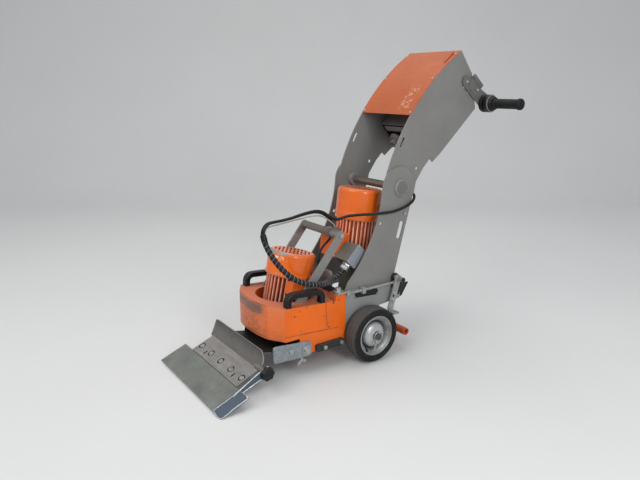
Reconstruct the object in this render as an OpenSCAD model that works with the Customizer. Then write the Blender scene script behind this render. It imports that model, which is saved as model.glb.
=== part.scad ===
// Walk-behind floor scraper with an oscillating blade head.
// X runs across the machine, Y towards the operator, Z up. The floor is Z = 0.

/* [Side plates] */
// Outer width over the two console plates
console_w = 268; // [250:1:290]
// Thickness of a console plate
console_t = 4; // [3:0.5:6]
// Thickness of a column plate
column_t = 5; // [3:0.5:8]
// Thickness of a chassis plate
chassis_t = 5; // [3:0.5:8]
// Running gap between console plates and column plates
plate_gap = 1; // [0.5:0.1:2]
// Reach of the chassis plates in front of the axle
chassis_front = 88; // [86:1:94]
// Reach of the chassis plates behind the axle
chassis_rear = 172; // [166:1:180]
// Height of the chassis plates' front top corner
chassis_top = 261; // [256:1:266]
// Fall of the chassis plates' top edge towards the rear
chassis_fall = 12; // [6:1:14]
// Height of the chassis plates' lower edge
chassis_bottom = 64; // [58:1:70]
// Radius of the round column heads
column_head_r = 75; // [72:1:77]
// Height of the column plates' lower edge
column_foot_z = 200; // [192:1:212]

/* [Tilt pivot] */
// Pivot distance behind the axle
pivot_y = 164; // [158:1:170]
// Pivot height
pivot_z = 599; // [590:1:612]
// Radius of the pivot shaft
pivot_r = 14; // [10:0.5:16]
// Radius of the round pivot caps
cap_r = 30; // [24:1:36]
// Thickness of the pivot caps
cap_t = 8; // [4:1:12]
// Radius of the inner pivot collars
collar_r = 26; // [22:1:30]
// Width of the inner pivot collars
collar_w = 16; // [10:1:22]

/* [Console] */
// Radius of the console plates round the pivot
console_hub_r = 74; // [68:1:76]
// Radius of the console's curved front edge
front_curve_r = 802; // [796:1:808]
// Thickness of the front cover
cover_t = 2; // [1.5:0.5:3]
// Length of the front cover along its curve
cover_l = 332; // [324:1:338]
// Thickness of the rear panel sheet
panel_t = 3; // [2:0.5:4]
// Width of the inner switch box
box_w = 220; // [180:1:240]
// Length of the inner switch box
box_l = 130; // [110:1:140]
// Depth of the inner switch box
box_d = 120; // [90:1:125]
// Width of the side slots
slot_w = 9; // [6:1:12]
// Length of the side slots
slot_l = 34; // [24:1:44]
// Radius of the cover screw heads
screw_r = 4.5; // [3:0.5:6]

/* [Handlebar] */
// Radius of the handlebar shaft
bar_shaft_r = 8; // [6:0.5:10]
// Thickness of the handlebar arms
arm_t = 5; // [4:0.5:7]
// Width of the handlebar arms
arm_w = 44; // [36:1:50]
// Reach of the handlebar arms from shaft to grip axis
arm_l = 128; // [120:1:134]
// Slope of the handlebar arms below level
arm_slope = 39; // [36:1:42]
// Radius of the hub discs
hub_disc_r = 33; // [28:1:36]
// Radius of the grips
grip_r = 18; // [15:0.5:20]
// Length of the rubber grips
grip_l = 126; // [100:1:130]

/* [Controls] */
// Radius of the stop button's head
stop_r = 20; // [15:1:24]
// Travel of the stop button
stop_travel = 5; // [3:0.5:6]
// Radius of the start button
start_r = 12; // [9:1:15]
// Travel of the start button
start_travel = 4; // [2:0.5:5]
// Radius of the drive switch knob
switch_r = 17; // [13:1:20]
// Radius of the control stems
stem_r = 7; // [5:0.5:8]
// Radius of the power inlet
inlet_r = 29; // [24:1:32]

/* [Wheels and drive] */
// Radius of the tyres
tyre_r = 100; // [96:1:102]
// Width of the tyres
tyre_w = 65; // [55:1:70]
// Radius of the rims at the tyre seat
rim_r = 73; // [68:1:78]
// Gap between tyre and chassis plate
wheel_gap = 10; // [6:1:12]
// Gap between tyre and ballast side
ballast_gap = 3; // [3:0.5:6]
// Radius of the axle
axle_r = 12.5; // [10:0.5:15]
// Distance of the worm behind the axle
worm_distance = 34; // [33:0.5:36]
// Radius of the worm
worm_r = 11; // [10.5:0.5:12]
// Lean of the rear motor towards the operator
rear_lean = 7; // [6:1:8]

/* [Motors] */
// Radius of the fan cowls
cowl_r = 83; // [78:1:86]
// Wall of the fan cowls
cowl_t = 2; // [1.5:0.5:3]
// Height of the front fan cowl
front_cowl_h = 83; // [76:1:90]
// Height of the rear fan cowl
rear_cowl_h = 112; // [96:1:120]
// Radius over the cooling fins
fin_r = 76; // [72:1:77]
// Depth of the cooling fins
fin_d = 11; // [8:1:14]
// Cooling fins round a motor
fin_count = 32; // [24:1:40]
// Length of the finned body
body_l = 140; // [130:1:146]
// Radius of the motor shafts
shaft_r = 10; // [8:0.5:11]
// Lean of the front motor towards the operator
front_lean = 12; // [10:1:13]
// Distance of the front motor's seat in front of the axle
front_seat_y = 252; // [248:1:256]
// Height of the front motor's seat
front_seat_z = 186; // [182:1:192]

/* [Deck and ballast] */
// Half width of the ballast
ballast_hw = 152; // [150:1:158]
// Height of the ballast above the deck
ballast_h = 96; // [88:1:98]
// Radius of the ballast's round front about the axle
ballast_r = 382; // [378:1:388]
// Radius of the motor well in the ballast
well_r = 100; // [98:1:103]
// Rise of the deck towards the front, in degrees
deck_pitch = 4; // [3:0.5:5]
// Height of the deck's top at its rear edge
deck_z = 140; // [136:1:144]
// Thickness of the deck plate
deck_t = 12; // [8:1:14]
// Height of the ballast's front apron above the floor
apron_z = 138; // [132:1:142]
// Length of the ballast handles
handle_l = 152; // [140:1:160]
// Height of the ballast handles
handle_h = 48; // [42:1:52]
// Width of the ballast handles
handle_w = 24; // [18:1:26]

/* [Lifting bow] */
// Half distance between the lifting bars
bow_hw = 107; // [105:1:112]
// Thickness of the lifting bars
bow_t = 6; // [4:0.5:8]
// Width of the lifting bars
bow_w = 30; // [24:1:36]
// Radius of the lifting tube
bow_r = 14; // [11:0.5:14]
// Lifting tube's distance in front of the axle
bow_y = 82; // [76:1:88]
// Height of the lifting tube
bow_z = 454; // [446:1:462]

/* [Blade head] */
// Angle of the blade to the floor
blade_angle = 21.5; // [20:0.5:23]
// Distance of the guard's front edge from the axle
guard_y = 618; // [612:1:622]
// Half width of the guard
guard_hw = 238; // [230:1:246]
// Sheet thickness of the guard
guard_t = 2.5; // [2:0.5:3]
// Half width of the blade
blade_hw = 160; // [152:1:162]
// Thickness of the blade
blade_t = 3; // [2:0.5:4]
// Half width of the blade carrier
carrier_hw = 164; // [163:1:170]
// Thickness of the blade carrier
carrier_t = 6; // [5:0.5:8]
// Length of the carrier's sloping leg
leg_l = 86; // [80:1:90]
// Height of the carrier's upright flange
flange_h = 60; // [56:1:66]
// Spacing of the clamp bolts
clamp_pitch = 73; // [66:1:76]
// Half width of the carrier's sliding tongue
tongue_hw = 96; // [90:1:98]
// Thickness of the sliding tongue
tongue_t = 10; // [8:1:12]
// Throw of the eccentric
throw = 2; // [1:0.5:3]

/* [Pedal and latch] */
// Radius of the latch rod
rod_r = 5; // [4:0.5:6]
// Lever arm of the latch rod below the pedal pivot
rod_arm = 16; // [15.5:0.5:17]
// Length of the pedal lever
pedal_l = 112; // [106:1:120]
// Width of the pedal lever
pedal_w = 26; // [20:1:30]
// Radius of the tilt bar tube
tilt_r = 14; // [12:0.5:16]
// Bore radius of the tilt bar tube
tilt_bore_r = 10; // [8:0.5:11]
// Half length of the tilt bar
tilt_hw = 186; // [180:1:192]

/* [Clearances] */
// Radial running clearance of shafts in holes
run = 0.05; // [0.02:0.01:0.1]
// Gap between sliding faces
slide = 0.3; // [0.2:0.05:0.5]

/* [Hidden] */
$fn = 64;

// Stations across the machine, from the midplane outwards
console_out = console_w / 2;
console_in = console_out - console_t;
column_in = console_out + plate_gap;
column_out = column_in + column_t;
chassis_out = column_out + chassis_t;
tyre_in = max(chassis_out + wheel_gap, ballast_hw + ballast_gap);
tyre_out = tyre_in + tyre_w;
axle_z = tyre_r;
wall_t = 5;
wall_back = wall_t - chassis_front;
pivot = [pivot_y, pivot_z];

// Pitched deck and ballast surfaces: height at a distance y from the axle
function deck_top(y) = deck_z - (chassis_front + y) * tan(deck_pitch);
function ballast_top(y) = deck_top(y) + ballast_h;
block_top = chassis_top;
bolt_x = 138;
bolt_y = -112;
strap_z = block_top + slide;
skirt_out = ballast_hw - 2;
plate_t = 5;
link_t = 14;
link_r = 12;
link_front = [-206, 88];
link_rear = [-tyre_r - 4 - link_r, 88];
strap_t = 4.4;
washer_z = strap_z + strap_t + slide;

// Motors
cowl_lap = 8;
motor_flange_r = fin_r + 4;
motor_flange_t = 12;
shield_r = cowl_r - cowl_t - 0.2;
core_r = 45;
core_gap = 1;
neck_top = 252;
wheel_r = worm_distance - worm_r - 0.5;
box_in = 40;
box_out = 114;
box_at = [-15, 368];
box_gland_x = box_out - 18;
pedestal_r = 78;
pedestal_tube_r = 32;

axle_end = tyre_out + 10;
pin_x = axle_end - 5;
pin_turn = 21;

// Console outline round the pivot
curve_cover = 144.6;
cover_foot = pivot + [40.3, 253.6];
curve_c = cover_foot - front_curve_r * [cos(curve_cover), sin(curve_cover)];
curve_low = curve_cover + turn(246, front_curve_r);
curve_high = curve_cover - turn(cover_l, front_curve_r);
console_top = curve_c + front_curve_r * [cos(curve_high), sin(curve_high)];
panel_high = pivot + [346, 397];
panel_low = pivot + [377, 269];
belly = pivot + [196, 108];
bar_pivot = pivot + [315, 368];
grip_axis = bar_pivot + arm_l * [cos(arm_slope), -sin(arm_slope)];
arm_in = console_out + 3 * plate_gap;
arm_out = arm_in + arm_t;
facet = unit(panel_low - panel_high);
facet_tilt = atan2(-facet[1], facet[0]);
under = unit(panel_low - belly);
control_at = 50;
control_pitch = 60;

// Column outline
head_c = pivot + [-9, 2];
column_curve_at = [-570, 44];
column_curve_c = pivot + column_curve_at;
column_curve_r = 488;
column_slot = [[160, 423], [173, 468]];
column_slot_r = 10;
pin_hole = [74, 480];
pin_hole_r = 6;
brace_hi = pivot + [22, -94];
brace_lo = [118, 292];
brace_r = 10;

// Blade head, measured in the plane of the blade
blade_z = guard_t + 2 * slide;
blade_top = blade_z + blade_t;
guard_h = blade_top + 2 * slide + guard_t;
leg_y = 101;
leg_top = blade_top + carrier_t;
bend_y = leg_y + leg_l;
flange_hw = carrier_hw + 12;
flange_r = 40;
flange_lean = 45.5;
boss_in = carrier_hw - 22;
clamp_y = leg_y + 32;
stud_at = [bend_y + 9, leg_top - 2];
stud_r = 5;
boss_out = carrier_hw + 28;
strap_x = boss_out + 1;
tongue_z = -116;
tongue_front = -162;
tongue_rear = 60;
ring_r = 26;
eccentric_r = 16;
window_side = ring_r + throw + 1;

// Pedal, rod and brackets
pedal_pivot = [143, 272];
pedal_pin_r = 5;
pedal_slope = 17;
rod_x = 155;
rod_z = pedal_pivot[1] - rod_arm;
pedal_x = rod_x + 6;
pedal_t = 5;
bracket_t = 4;
link_pin_r = 3;
tilt_at = [172, 62];

// Cable routes, laid by hand
wrap_r = 9.5;
cable_r = 4;
console_r = 5;
light_r = 2.5;
wrap_points = [
    [96, -59, 324], [96.5, -75, 311.6], [100, -94, 303.8], [106.5, -114, 300.5], [117, -137, 299.5],
    [128, -160, 301], [137.5, -187, 305.5], [144, -219, 314], [146, -254, 325.5], [142, -288, 342],
    [133, -316, 366], [120, -339, 395], [106, -357, 428], [93, -368, 461], [84, -373, 494]
];
motor_points = [
    [82.3, -372.3, 480.6], [78.9, -373.5, 494.5], [78.5, -371, 507], [78, -363.8, 517.8],
    [77, -353, 525], [76, -340.5, 527.5], [75, -320, 528], [73, -290, 528], [71, -258, 529],
    [68, -225, 533], [65, -190, 536], [61, -158, 536], [57, -130, 530], [52, -106, 518],
    [48, -86, 504], [45, -71, 488], [43, -63, 471], [42, -62, 453], [40, -68, 436], [37, -83, 419],
    [36, -104, 401], [40, -122, 380], [52, -134, 354], [68, -146, 330], [82, -162, 311],
    [90, -184, 299], [91, -204, 294]
];
light_points = [
    [87.5, -365.5, 480.6], [84, -366.5, 494], [83.6, -364.9, 502.2], [83, -360.2, 509.2],
    [82, -353.2, 513.9], [81, -345, 515.5], [80, -332, 516.5], [78, -310, 518], [76, -280, 520],
    [74, -240, 523], [72, -200, 526], [69, -160, 526], [66, -132, 521], [63, -110, 510],
    [60, -90, 497], [58, -74, 483], [57, -65, 468], [56, -61, 454]
];
console_points = [
    [92.6, -372.3, 480.6], [89, -373.5, 495], [88, -371, 508.6], [87.6, -363.8, 519.4],
    [87, -353, 526.6], [86, -340.5, 529.2], [85, -320, 530], [83, -290, 531], [81, -258, 534],
    [79, -225, 539], [77, -190, 543], [75, -158, 543], [73, -132, 536], [70, -110, 523],
    [67.5, -90, 509.5], [66, -74, 502], [66.3, -60, 500.5], [68, -46, 503], [72.5, -35, 506.5],
    [80.5, -24, 510.5], [92, -13, 513], [106, -1.5, 515.5], [120, 9.5, 518], [132.5, 19.5, 519.5],
    [141.5, 29, 520.5], [147.3, 41, 521], [149.5, 56, 521], [150, 82, 520], [149.5, 109, 519.5],
    [149.5, 134, 521], [149.5, 157, 525], [149.5, 180, 530.5], [149.3, 199, 537.5], [149, 214, 546],
    [146.3, 224.2, 555], [138.6, 232.8, 562.6], [127, 238.6, 567.6], [113.5, 240.6, 569.4],
    [100, 238.6, 567.6], [88.4, 232.8, 562.6], [80.7, 224.2, 555], [78, 214, 546], [78, 205, 536.5],
    [78, 198, 527], [78, 193, 518]
];

// Geometry helpers
function unit(v) = v / norm(v);
function left(v) = [-v[1], v[0]];
function turn(l, r) = l / r * 180 / PI;
function arc(c, r, a0, a1, n = 20) =
    [for (i = [0:n]) let (a = a0 + (a1 - a0) * i / n) c + r * [cos(a), sin(a)]];
function mitre(p, i, t) =
    let (
        a = i > 0 ? unit(p[i] - p[i - 1]) : unit(p[1] - p[0]),
        b = i < len(p) - 1 ? unit(p[i + 1] - p[i]) : a,
        m = unit(left(a) + left(b))
    ) p[i] + m * t / (m * left(a));
function strip(p, t) = concat(p, [for (i = [len(p) - 1:-1:0]) mitre(p, i, t)]);
function bar(a, b, r) =
    let (d = atan2(b[1] - a[1], b[0] - a[0]))
    concat(arc(a, r, d + 90, d + 270, 12), arc(b, r, d - 90, d + 90, 12));
function rounded(p, r, n = 5) = [
    for (i = [0:len(p) - 1]) let (
        b = p[i],
        s = b + r * unit(p[(i + len(p) - 1) % len(p)] - b),
        e = b + r * unit(p[(i + 1) % len(p)] - b)
    ) for (k = [0:n]) let (t = k / n) (1 - t) * (1 - t) * s + 2 * t * (1 - t) * b + t * t * e
];
function knot(p, i) =
    i < 0 ? 2 * p[0] - p[1] : i >= len(p) ? 2 * p[len(p) - 1] - p[len(p) - 2] : p[i];
function spline(p, i, t) =
    let (a = knot(p, i - 1), b = knot(p, i), c = knot(p, i + 1), d = knot(p, i + 2))
    0.5 * (2 * b + (c - a) * t + (2 * a - 5 * b + 4 * c - d) * t * t
        + (3 * b - a - 3 * c + d) * t * t * t);
function route(p, m) = concat(
    [for (i = [0:len(p) - 2], k = [0:m - 1]) spline(p, i, k / m)], [p[len(p) - 1]]);

// Flat shape in (Y, Z), made t thick from x0 outwards
module slab(x0, t) {
    translate([x0, 0, 0]) rotate([90, 0, 90]) linear_extrude(t) children();
}

// Round bar along X at a (Y, Z) point
module rod(r, x0, x1, at) {
    translate([x0, at[0], at[1]]) rotate([0, 90, 0]) cylinder(r = r, h = x1 - x0);
}

// Hexagon head along X at a (Y, Z) point
module hex(r, x0, h, at) {
    translate([x0, at[0], at[1]]) rotate([0, 90, 0]) cylinder(r = r, h = h, $fn = 6);
}

module pair() {
    children();
    mirror([1, 0, 0]) children();
}

// Seat of the front motor, Z up its shaft
module front_axis() {
    translate([0, -front_seat_y, front_seat_z]) rotate([-front_lean, 0, 0]) children();
}

// Worm of the rear drive, Z up the motor shaft
module rear_axis() {
    translate([0, 0, axle_z]) rotate([-rear_lean, 0, 0])
        translate([0, worm_distance, 0]) children();
}

// Plane of the blade, Y rising to the rear from the guard's front edge
module blade_plane() {
    translate([0, -guard_y, 0]) rotate([blade_angle, 0, 0]) children();
}

// A place on the rear control panel, Z pointing out of it
module on_panel(x) {
    at = panel_high + control_at * facet;
    translate([x, at[0], at[1]]) rotate([-facet_tilt, 0, 0]) children();
}

// Tube of n sides with a radius for each ring of its route
module tube(path, radii, aim, n = 8) {
    last = len(path) - 1;
    points = [
        for (i = [0:last]) let (
            t = unit(path[min(i + 1, last)] - path[max(i - 1, 0)]),
            u = unit(cross(t, aim)),
            v = cross(t, u)
        ) for (j = [0:n - 1]) path[i] + radii[i] * (u * cos(360 * j / n) + v * sin(360 * j / n))
    ];
    sides = [
        for (i = [0:last - 1], j = [0:n - 1])
            let (k = (j + 1) % n)
            [i * n + j, (i + 1) * n + j, (i + 1) * n + k, i * n + k]
    ];
    caps = [[for (j = [0:n - 1]) j], [for (j = [n - 1:-1:0]) last * n + j]];
    polyhedron(points, concat(sides, caps));
}

orange = [0.87, 0.41, 0.12];
grey_paint = [0.5, 0.49, 0.48];
galvanised = [0.62, 0.63, 0.62];
black = [0.13, 0.13, 0.14];
steel = [0.68, 0.68, 0.69];

// Chassis and column

module chassis_plates() {
    color(grey_paint) pair() difference() {
        slab(column_out, chassis_t) polygon([
            [-chassis_front, chassis_bottom], [-chassis_front, chassis_top],
            [chassis_rear, chassis_top - chassis_fall], [chassis_rear, 186], [72, 178],
            [44, chassis_bottom]
        ]);
        rod(axle_r + 2.5, column_out - 1, chassis_out + 1, [0, axle_z]);
    }
}

module cross_walls() {
    color(grey_paint) {
        translate([-column_out, -chassis_front, chassis_bottom + 2])
            cube([2 * column_out, wall_t, chassis_top - chassis_bottom - 5]);
        translate([-column_out, chassis_rear - 22, column_foot_z - 14])
            cube([2 * column_out, wall_t, 60]);
    }
}

module column_plates() {
    color(grey_paint) pair() difference() {
        slab(column_in, column_t) polygon(concat(
            arc(head_c, column_head_r, -8, 165, 24),
            arc(column_curve_c, column_curve_r, -5.5, -46.5, 20),
            [[wall_back, chassis_top], [wall_back, column_foot_z], [122, column_foot_z]]
        ));
        rod(pivot_r + run, column_in - 1, column_out + 1, pivot);
        slab(column_in - 1, column_t + 2) polygon(bar(column_slot[0], column_slot[1], column_slot_r));
        rod(pin_hole_r, column_in - 1, column_out + 1, pin_hole);
    }
}

module column_braces() {
    color(grey_paint) {
        rod(brace_r, -column_in, column_in, brace_hi);
        rod(brace_r, -column_in, column_in, brace_lo);
    }
}

module pivot_shaft() {
    color(steel) rod(pivot_r, -column_out, column_out, pivot);
}

module pivot_caps() {
    color(grey_paint) pair() translate([column_out, pivot_y, pivot_z]) rotate([0, 90, 0])
        rotate_extrude() polygon([
            [0, 0], [cap_r, 0], [cap_r, cap_t - 3], [cap_r - 3, cap_t], [0, cap_t]
        ]);
}

// Deck, ballast and lifting bow

module deck_frame() {
    deck_front = -322;
    narrow_y = -278;
    skirt_t = 8;
    module plate(hw, y0, y1) {
        slab(-hw, 2 * hw) polygon([
            [y0, deck_top(y0) - deck_t], [y0, deck_top(y0)],
            [y1, deck_top(y1)], [y1, deck_top(y1) - deck_t]
        ]);
    }
    color(orange) difference() {
        union() {
            plate(skirt_out, narrow_y, -chassis_front);
            plate(skirt_out - 14, deck_front, narrow_y + 1);
            pair() slab(skirt_out - skirt_t, skirt_t) polygon([
                [narrow_y, 96], [narrow_y, deck_top(narrow_y) - 1],
                [-chassis_front, deck_z - 1], [-chassis_front, 96], [-96, 70], [-116, 70],
                [-122, 78], [-216, 78], [-240, 72], [-252, 96]
            ]);
        }
        front_axis() translate([0, 0, -120]) cylinder(r = pedestal_tube_r + 4, h = 120);
    }
}

module ballast_plan(inset, h) {
    slope = 35 / 57;
    side = ballast_hw - inset;
    corner = -335 + inset;
    intersection() {
        linear_extrude(h) polygon([
            [side, -chassis_front - 2], [side, corner], [0, corner - slope * side],
            [-side, corner], [-side, -chassis_front - 2]
        ]);
        cylinder(r = ballast_r - inset, h = h, $fn = 128);
    }
}

module ballast_block() {
    apron_t = 12;
    apron_y = -278;
    rear = -chassis_front - 2;
    front = -ballast_r - 5;
    block_y = rear - 41;
    color(orange) difference() {
        union() {
            intersection() {
                translate([0, 0, apron_z]) ballast_plan(0, 200);
                slab(-ballast_hw, 2 * ballast_hw) polygon([
                    [rear, deck_top(rear)], [rear, ballast_top(rear)],
                    [front, ballast_top(front)], [front, deck_top(front)]
                ]);
            }
            intersection() {
                difference() {
                    translate([0, 0, apron_z]) ballast_plan(0, 60);
                    translate([0, 0, apron_z - 1]) ballast_plan(apron_t, 62);
                }
                slab(-ballast_hw, 2 * ballast_hw) polygon([
                    [apron_y, apron_z], [apron_y, deck_top(apron_y) + 4],
                    [front, deck_top(front) + 4], [front, apron_z]
                ]);
            }
            pair() translate([ballast_hw - 40, block_y, ballast_top(block_y) - 8])
                cube([40, 41, block_top - ballast_top(block_y) + 8]);
        }
        translate([0, -246, 100]) cylinder(r = well_r, h = 200);
        pair() translate([bolt_x, bolt_y, block_top - 20]) cylinder(r = 6 + run, h = 30);
    }
}

module ballast_handles() {
    band = 17;
    bend = 30;
    outer = concat(
        [[0, 0]], arc([bend, handle_h - bend], bend, 180, 90, 8),
        arc([handle_l - bend, handle_h - bend], bend, 90, 0, 8), [[handle_l, 0]]
    );
    inner = concat(
        [[handle_l - band, 0]], arc([handle_l - bend, handle_h - bend], bend - band, 0, 90, 8),
        arc([bend, handle_h - bend], bend - band, 90, 180, 8), [[band, 0]]
    );
    color(black) pair()
        translate([0, -328, ballast_top(-328)]) rotate([-deck_pitch, 0, 0])
            slab(skirt_out - handle_w, handle_w) polygon(concat(outer, inner));
}

module lift_bow() {
    foot_y = -250;
    top = [-bow_y, bow_z];
    lean = atan2(bow_z - ballast_top(foot_y), -bow_y - foot_y);
    half = bow_w / 2 / sin(lean);
    color(grey_paint) {
        pair() slab(bow_hw, bow_t) polygon(concat(
            arc(top, bow_w / 2, lean - 90, lean + 90, 12),
            [for (y = [foot_y - half, foot_y + half]) [y, ballast_top(y)]]
        ));
        rod(bow_r, -bow_hw - 1, bow_hw + 1, top);
    }
}

module frame_bolts() {
    plate_out = skirt_out + plate_t;
    link_out = skirt_out + link_t;
    wing_y = -274;
    color(galvanised) pair() {
        translate([bolt_x, bolt_y, block_top - 20]) cylinder(r = 6, h = 22 + washer_z - block_top);
        translate([bolt_x, bolt_y, washer_z]) cylinder(r = 18, h = 3);
        translate([bolt_x, bolt_y, washer_z + 2]) cylinder(r = 11, h = 12, $fn = 6);
        hex(8, link_out, 6, link_front + [20, -1]);
        hex(8, link_out, 6, link_rear);
        hex(9, bow_hw + bow_t, 6, [-bow_y, bow_z]);
        hex(8, column_out, 5, brace_hi);
    }
    color(galvanised) {
        hex(9, plate_out, 5, [-316, 102]);
        rod(3, plate_out, plate_out + 4, [-303, 92]);
        rod(17, plate_out, plate_out + 3, [-257, 93]);
        hex(11, plate_out + 2, 9, [-257, 93]);
        translate([plate_out - 3, wing_y, 56]) cylinder(r = 5, h = 13.6);
        slab(plate_out - 5, 4) polygon(bar([wing_y, 60], [wing_y - 13, 50], 5));
        slab(plate_out - 5, 4) polygon(bar([wing_y, 60], [wing_y + 13, 54], 5));
    }
}

module side_plate() {
    color(galvanised) slab(skirt_out, plate_t)
        polygon(rounded([[-386, 135], [-385, 76], [-236, 68], [-234, 121]], 12));
}

module link_bars() {
    color(black) pair() slab(skirt_out, link_t) polygon(rounded([
        link_front - [link_r, link_r], link_rear + [link_r, -link_r],
        link_rear + [link_r, link_r], link_front + [-link_r, link_r]
    ], 5));
}

// Front motor and blade drive

module fin_outline() {
    root = fin_r - fin_d;
    step = 360 / fin_count;
    polygon([for (i = [0:fin_count - 1], p = [[0, root], [0.5, root], [0.6, fin_r], [0.9, fin_r]])
        p[1] * [cos((i + p[0]) * step), sin((i + p[0]) * step)]]);
}

// Finned body standing on its flange, hollow for the rotor core
module motor_body() {
    difference() {
        union() {
            cylinder(r = motor_flange_r, h = motor_flange_t);
            linear_extrude(body_l) fin_outline();
            translate([0, 0, body_l - cowl_lap - 2]) cylinder(r = shield_r, h = cowl_lap + 2);
        }
        translate([0, 0, -1]) cylinder(r = shaft_r + run, h = body_l + 2);
        translate([0, 0, 16]) cylinder(r = core_r + core_gap, h = body_l - 32);
    }
}

// Fan cowl with a round shoulder and a slotted crown
module cowl(h) {
    shoulder = 13;
    slot_turn = 54;
    crown = cowl_r - shoulder - 3;
    difference() {
        rotate_extrude() polygon(concat(
            [[0, h]], arc([cowl_r - shoulder, h - shoulder], shoulder, 90, 0, 6),
            [[cowl_r, 0], [cowl_r - cowl_t, 0]],
            arc([cowl_r - shoulder, h - shoulder], shoulder - cowl_t, 0, 90, 6),
            [[0, h - cowl_t]]
        ));
        rotate([0, 0, slot_turn]) difference() {
            for (x = [-crown + 8:13:crown - 6]) {
                reach = sqrt(crown * crown - x * x) - 4;
                translate([x - 3, -reach, h - 2 * cowl_t]) cube([6, 2 * reach, 3 * cowl_t]);
            }
            for (y = [-20, 20]) translate([-crown, y - 3, 0]) cube([2 * crown, 6, 2 * h]);
        }
    }
}

module fan(z) {
    difference() {
        translate([0, 0, z]) union() {
            cylinder(r = cowl_r - 14, h = 3);
            cylinder(r = shaft_r + 8, h = 18);
            for (a = [0:45:315]) rotate([0, 0, a]) translate([shaft_r + 5, -1.5, 2])
                cube([cowl_r - 22 - shaft_r, 3, 14]);
        }
        translate([0, 0, z - 1]) cylinder(r = shaft_r + 0.02, h = 24);
    }
}

module motor_pedestal() {
    color(orange) front_axis() difference() {
        union() {
            intersection() {
                translate([0, 0, -70]) cylinder(r = pedestal_r, h = 70);
                rotate([front_lean, 0, 0]) translate([0, front_seat_y, -front_seat_z])
                    slab(-pedestal_r, 2 * pedestal_r) polygon([
                        [-400, deck_top(-400)], [-400, 300], [-100, 300], [-100, deck_top(-100)]
                    ]);
            }
            translate([0, 0, -88]) cylinder(r = pedestal_tube_r, h = 80);
        }
        translate([0, 0, -100]) cylinder(r = shaft_r + run, h = 110);
    }
}

module front_motor_body() {
    color(orange) front_axis() motor_body();
}

module front_motor_cowl() {
    color(orange) front_axis() translate([0, 0, body_l - cowl_lap]) cowl(front_cowl_h);
}

module front_terminal_box() {
    color(orange) front_axis() difference() {
        translate([60, -46, 80]) cube([42, 74, 42]);
        cylinder(r = fin_r + slide, h = body_l);
    }
}

module front_rotor() {
    top = body_l - cowl_lap + front_cowl_h - 22;
    color(steel) front_axis() {
        translate([0, 0, -100]) cylinder(r = shaft_r, h = top + 100);
        translate([0, 0, 18]) cylinder(r = core_r, h = body_l - 36);
        translate([0, -throw, -124]) cylinder(r = eccentric_r, h = 28);
    }
}

module eccentric_bearing() {
    color(steel) front_axis() translate([0, -throw, -123]) difference() {
        cylinder(r = ring_r, h = 24);
        translate([0, 0, -1]) cylinder(r = eccentric_r + 0.02, h = 26);
    }
}

module front_fan() {
    color(black) front_axis() fan(body_l + 26);
}

module carrier_guides() {
    edge = tongue_hw + slide;
    top = tongue_z + tongue_t;
    color(black) pair() difference() {
        front_axis() difference() {
            union() {
                translate([tongue_hw - 12, -75, tongue_z - 8]) cube([26, 136, tongue_t + 16]);
                translate([tongue_hw + 2, -75, top]) cube([12, 136, 90]);
            }
            translate([tongue_hw - 20, -90, tongue_z - slide])
                cube([20 + slide, 180, tongue_t + 2 * slide]);
        }
        slab(0, 200) polygon([
            [-420, deck_top(-420) - deck_t], [-420, 400], [-80, 400], [-80, deck_top(-80) - deck_t]
        ]);
    }
}

// Rear drive

module gearbox_housing() {
    case_w = 80;
    cavity_r = wheel_r + 4;
    color(grey_paint) difference() {
        union() {
            rear_axis() {
                translate([0, 0, -62]) cylinder(r = 32, h = 130);
                translate([0, 0, 50]) cylinder(r = 44, h = neck_top - 51);
                translate([0, 0, neck_top - 12]) cylinder(r = motor_flange_r, h = 12);
            }
            rod(cavity_r + 9, -case_w / 2, case_w / 2, [0, axle_z]);
            translate([-case_w / 2, wall_back, axle_z - 10]) cube([case_w, -wall_back, 60]);
        }
        translate([-case_w, wall_back - 100, 0]) cube([2 * case_w, 100, 2 * axle_z]);
        rear_axis() {
            translate([0, 0, -58]) cylinder(r = shaft_r + run, h = neck_top + 60);
            translate([0, 0, -46]) cylinder(r = worm_r + 3, h = 92);
        }
        rod(cavity_r, -30, 30, [0, axle_z]);
        rod(axle_r + run, -case_w, case_w, [0, axle_z]);
    }
}

module rear_motor_body() {
    color(orange) rear_axis() translate([0, 0, neck_top]) motor_body();
}

module rear_motor_cowl() {
    color(orange) rear_axis() translate([0, 0, neck_top + body_l - cowl_lap]) cowl(rear_cowl_h);
}

module rear_rotor() {
    top = neck_top + body_l + rear_cowl_h - cowl_lap - 40;
    color(steel) rear_axis() {
        translate([0, 0, -56]) cylinder(r = shaft_r, h = top + 56);
        translate([0, 0, -40]) cylinder(r = worm_r, h = 80);
        translate([0, 0, neck_top + 18]) cylinder(r = core_r, h = body_l - 36);
    }
}

module rear_fan() {
    color(black) rear_axis() fan(neck_top + body_l + 30);
}

// Terminal box, turned on the side of the rear motor
module on_terminal_box() {
    translate([0, box_at[0], box_at[1]]) rotate([-45, 0, 0]) children();
}

module terminal_box() {
    color(grey_paint) difference() {
        on_terminal_box() translate([box_in, -22, -36]) cube([box_out - box_in, 44, 72]);
        rear_axis() cylinder(r = fin_r + slide, h = neck_top + body_l);
        rear_axis() translate([0, 0, neck_top - motor_flange_t - 1])
            cylinder(r = motor_flange_r + slide, h = 2 * motor_flange_t + 2);
    }
}

module terminal_lid() {
    color(grey_paint) on_terminal_box() translate([box_out, -24, -38]) cube([5, 48, 76]);
}

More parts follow.
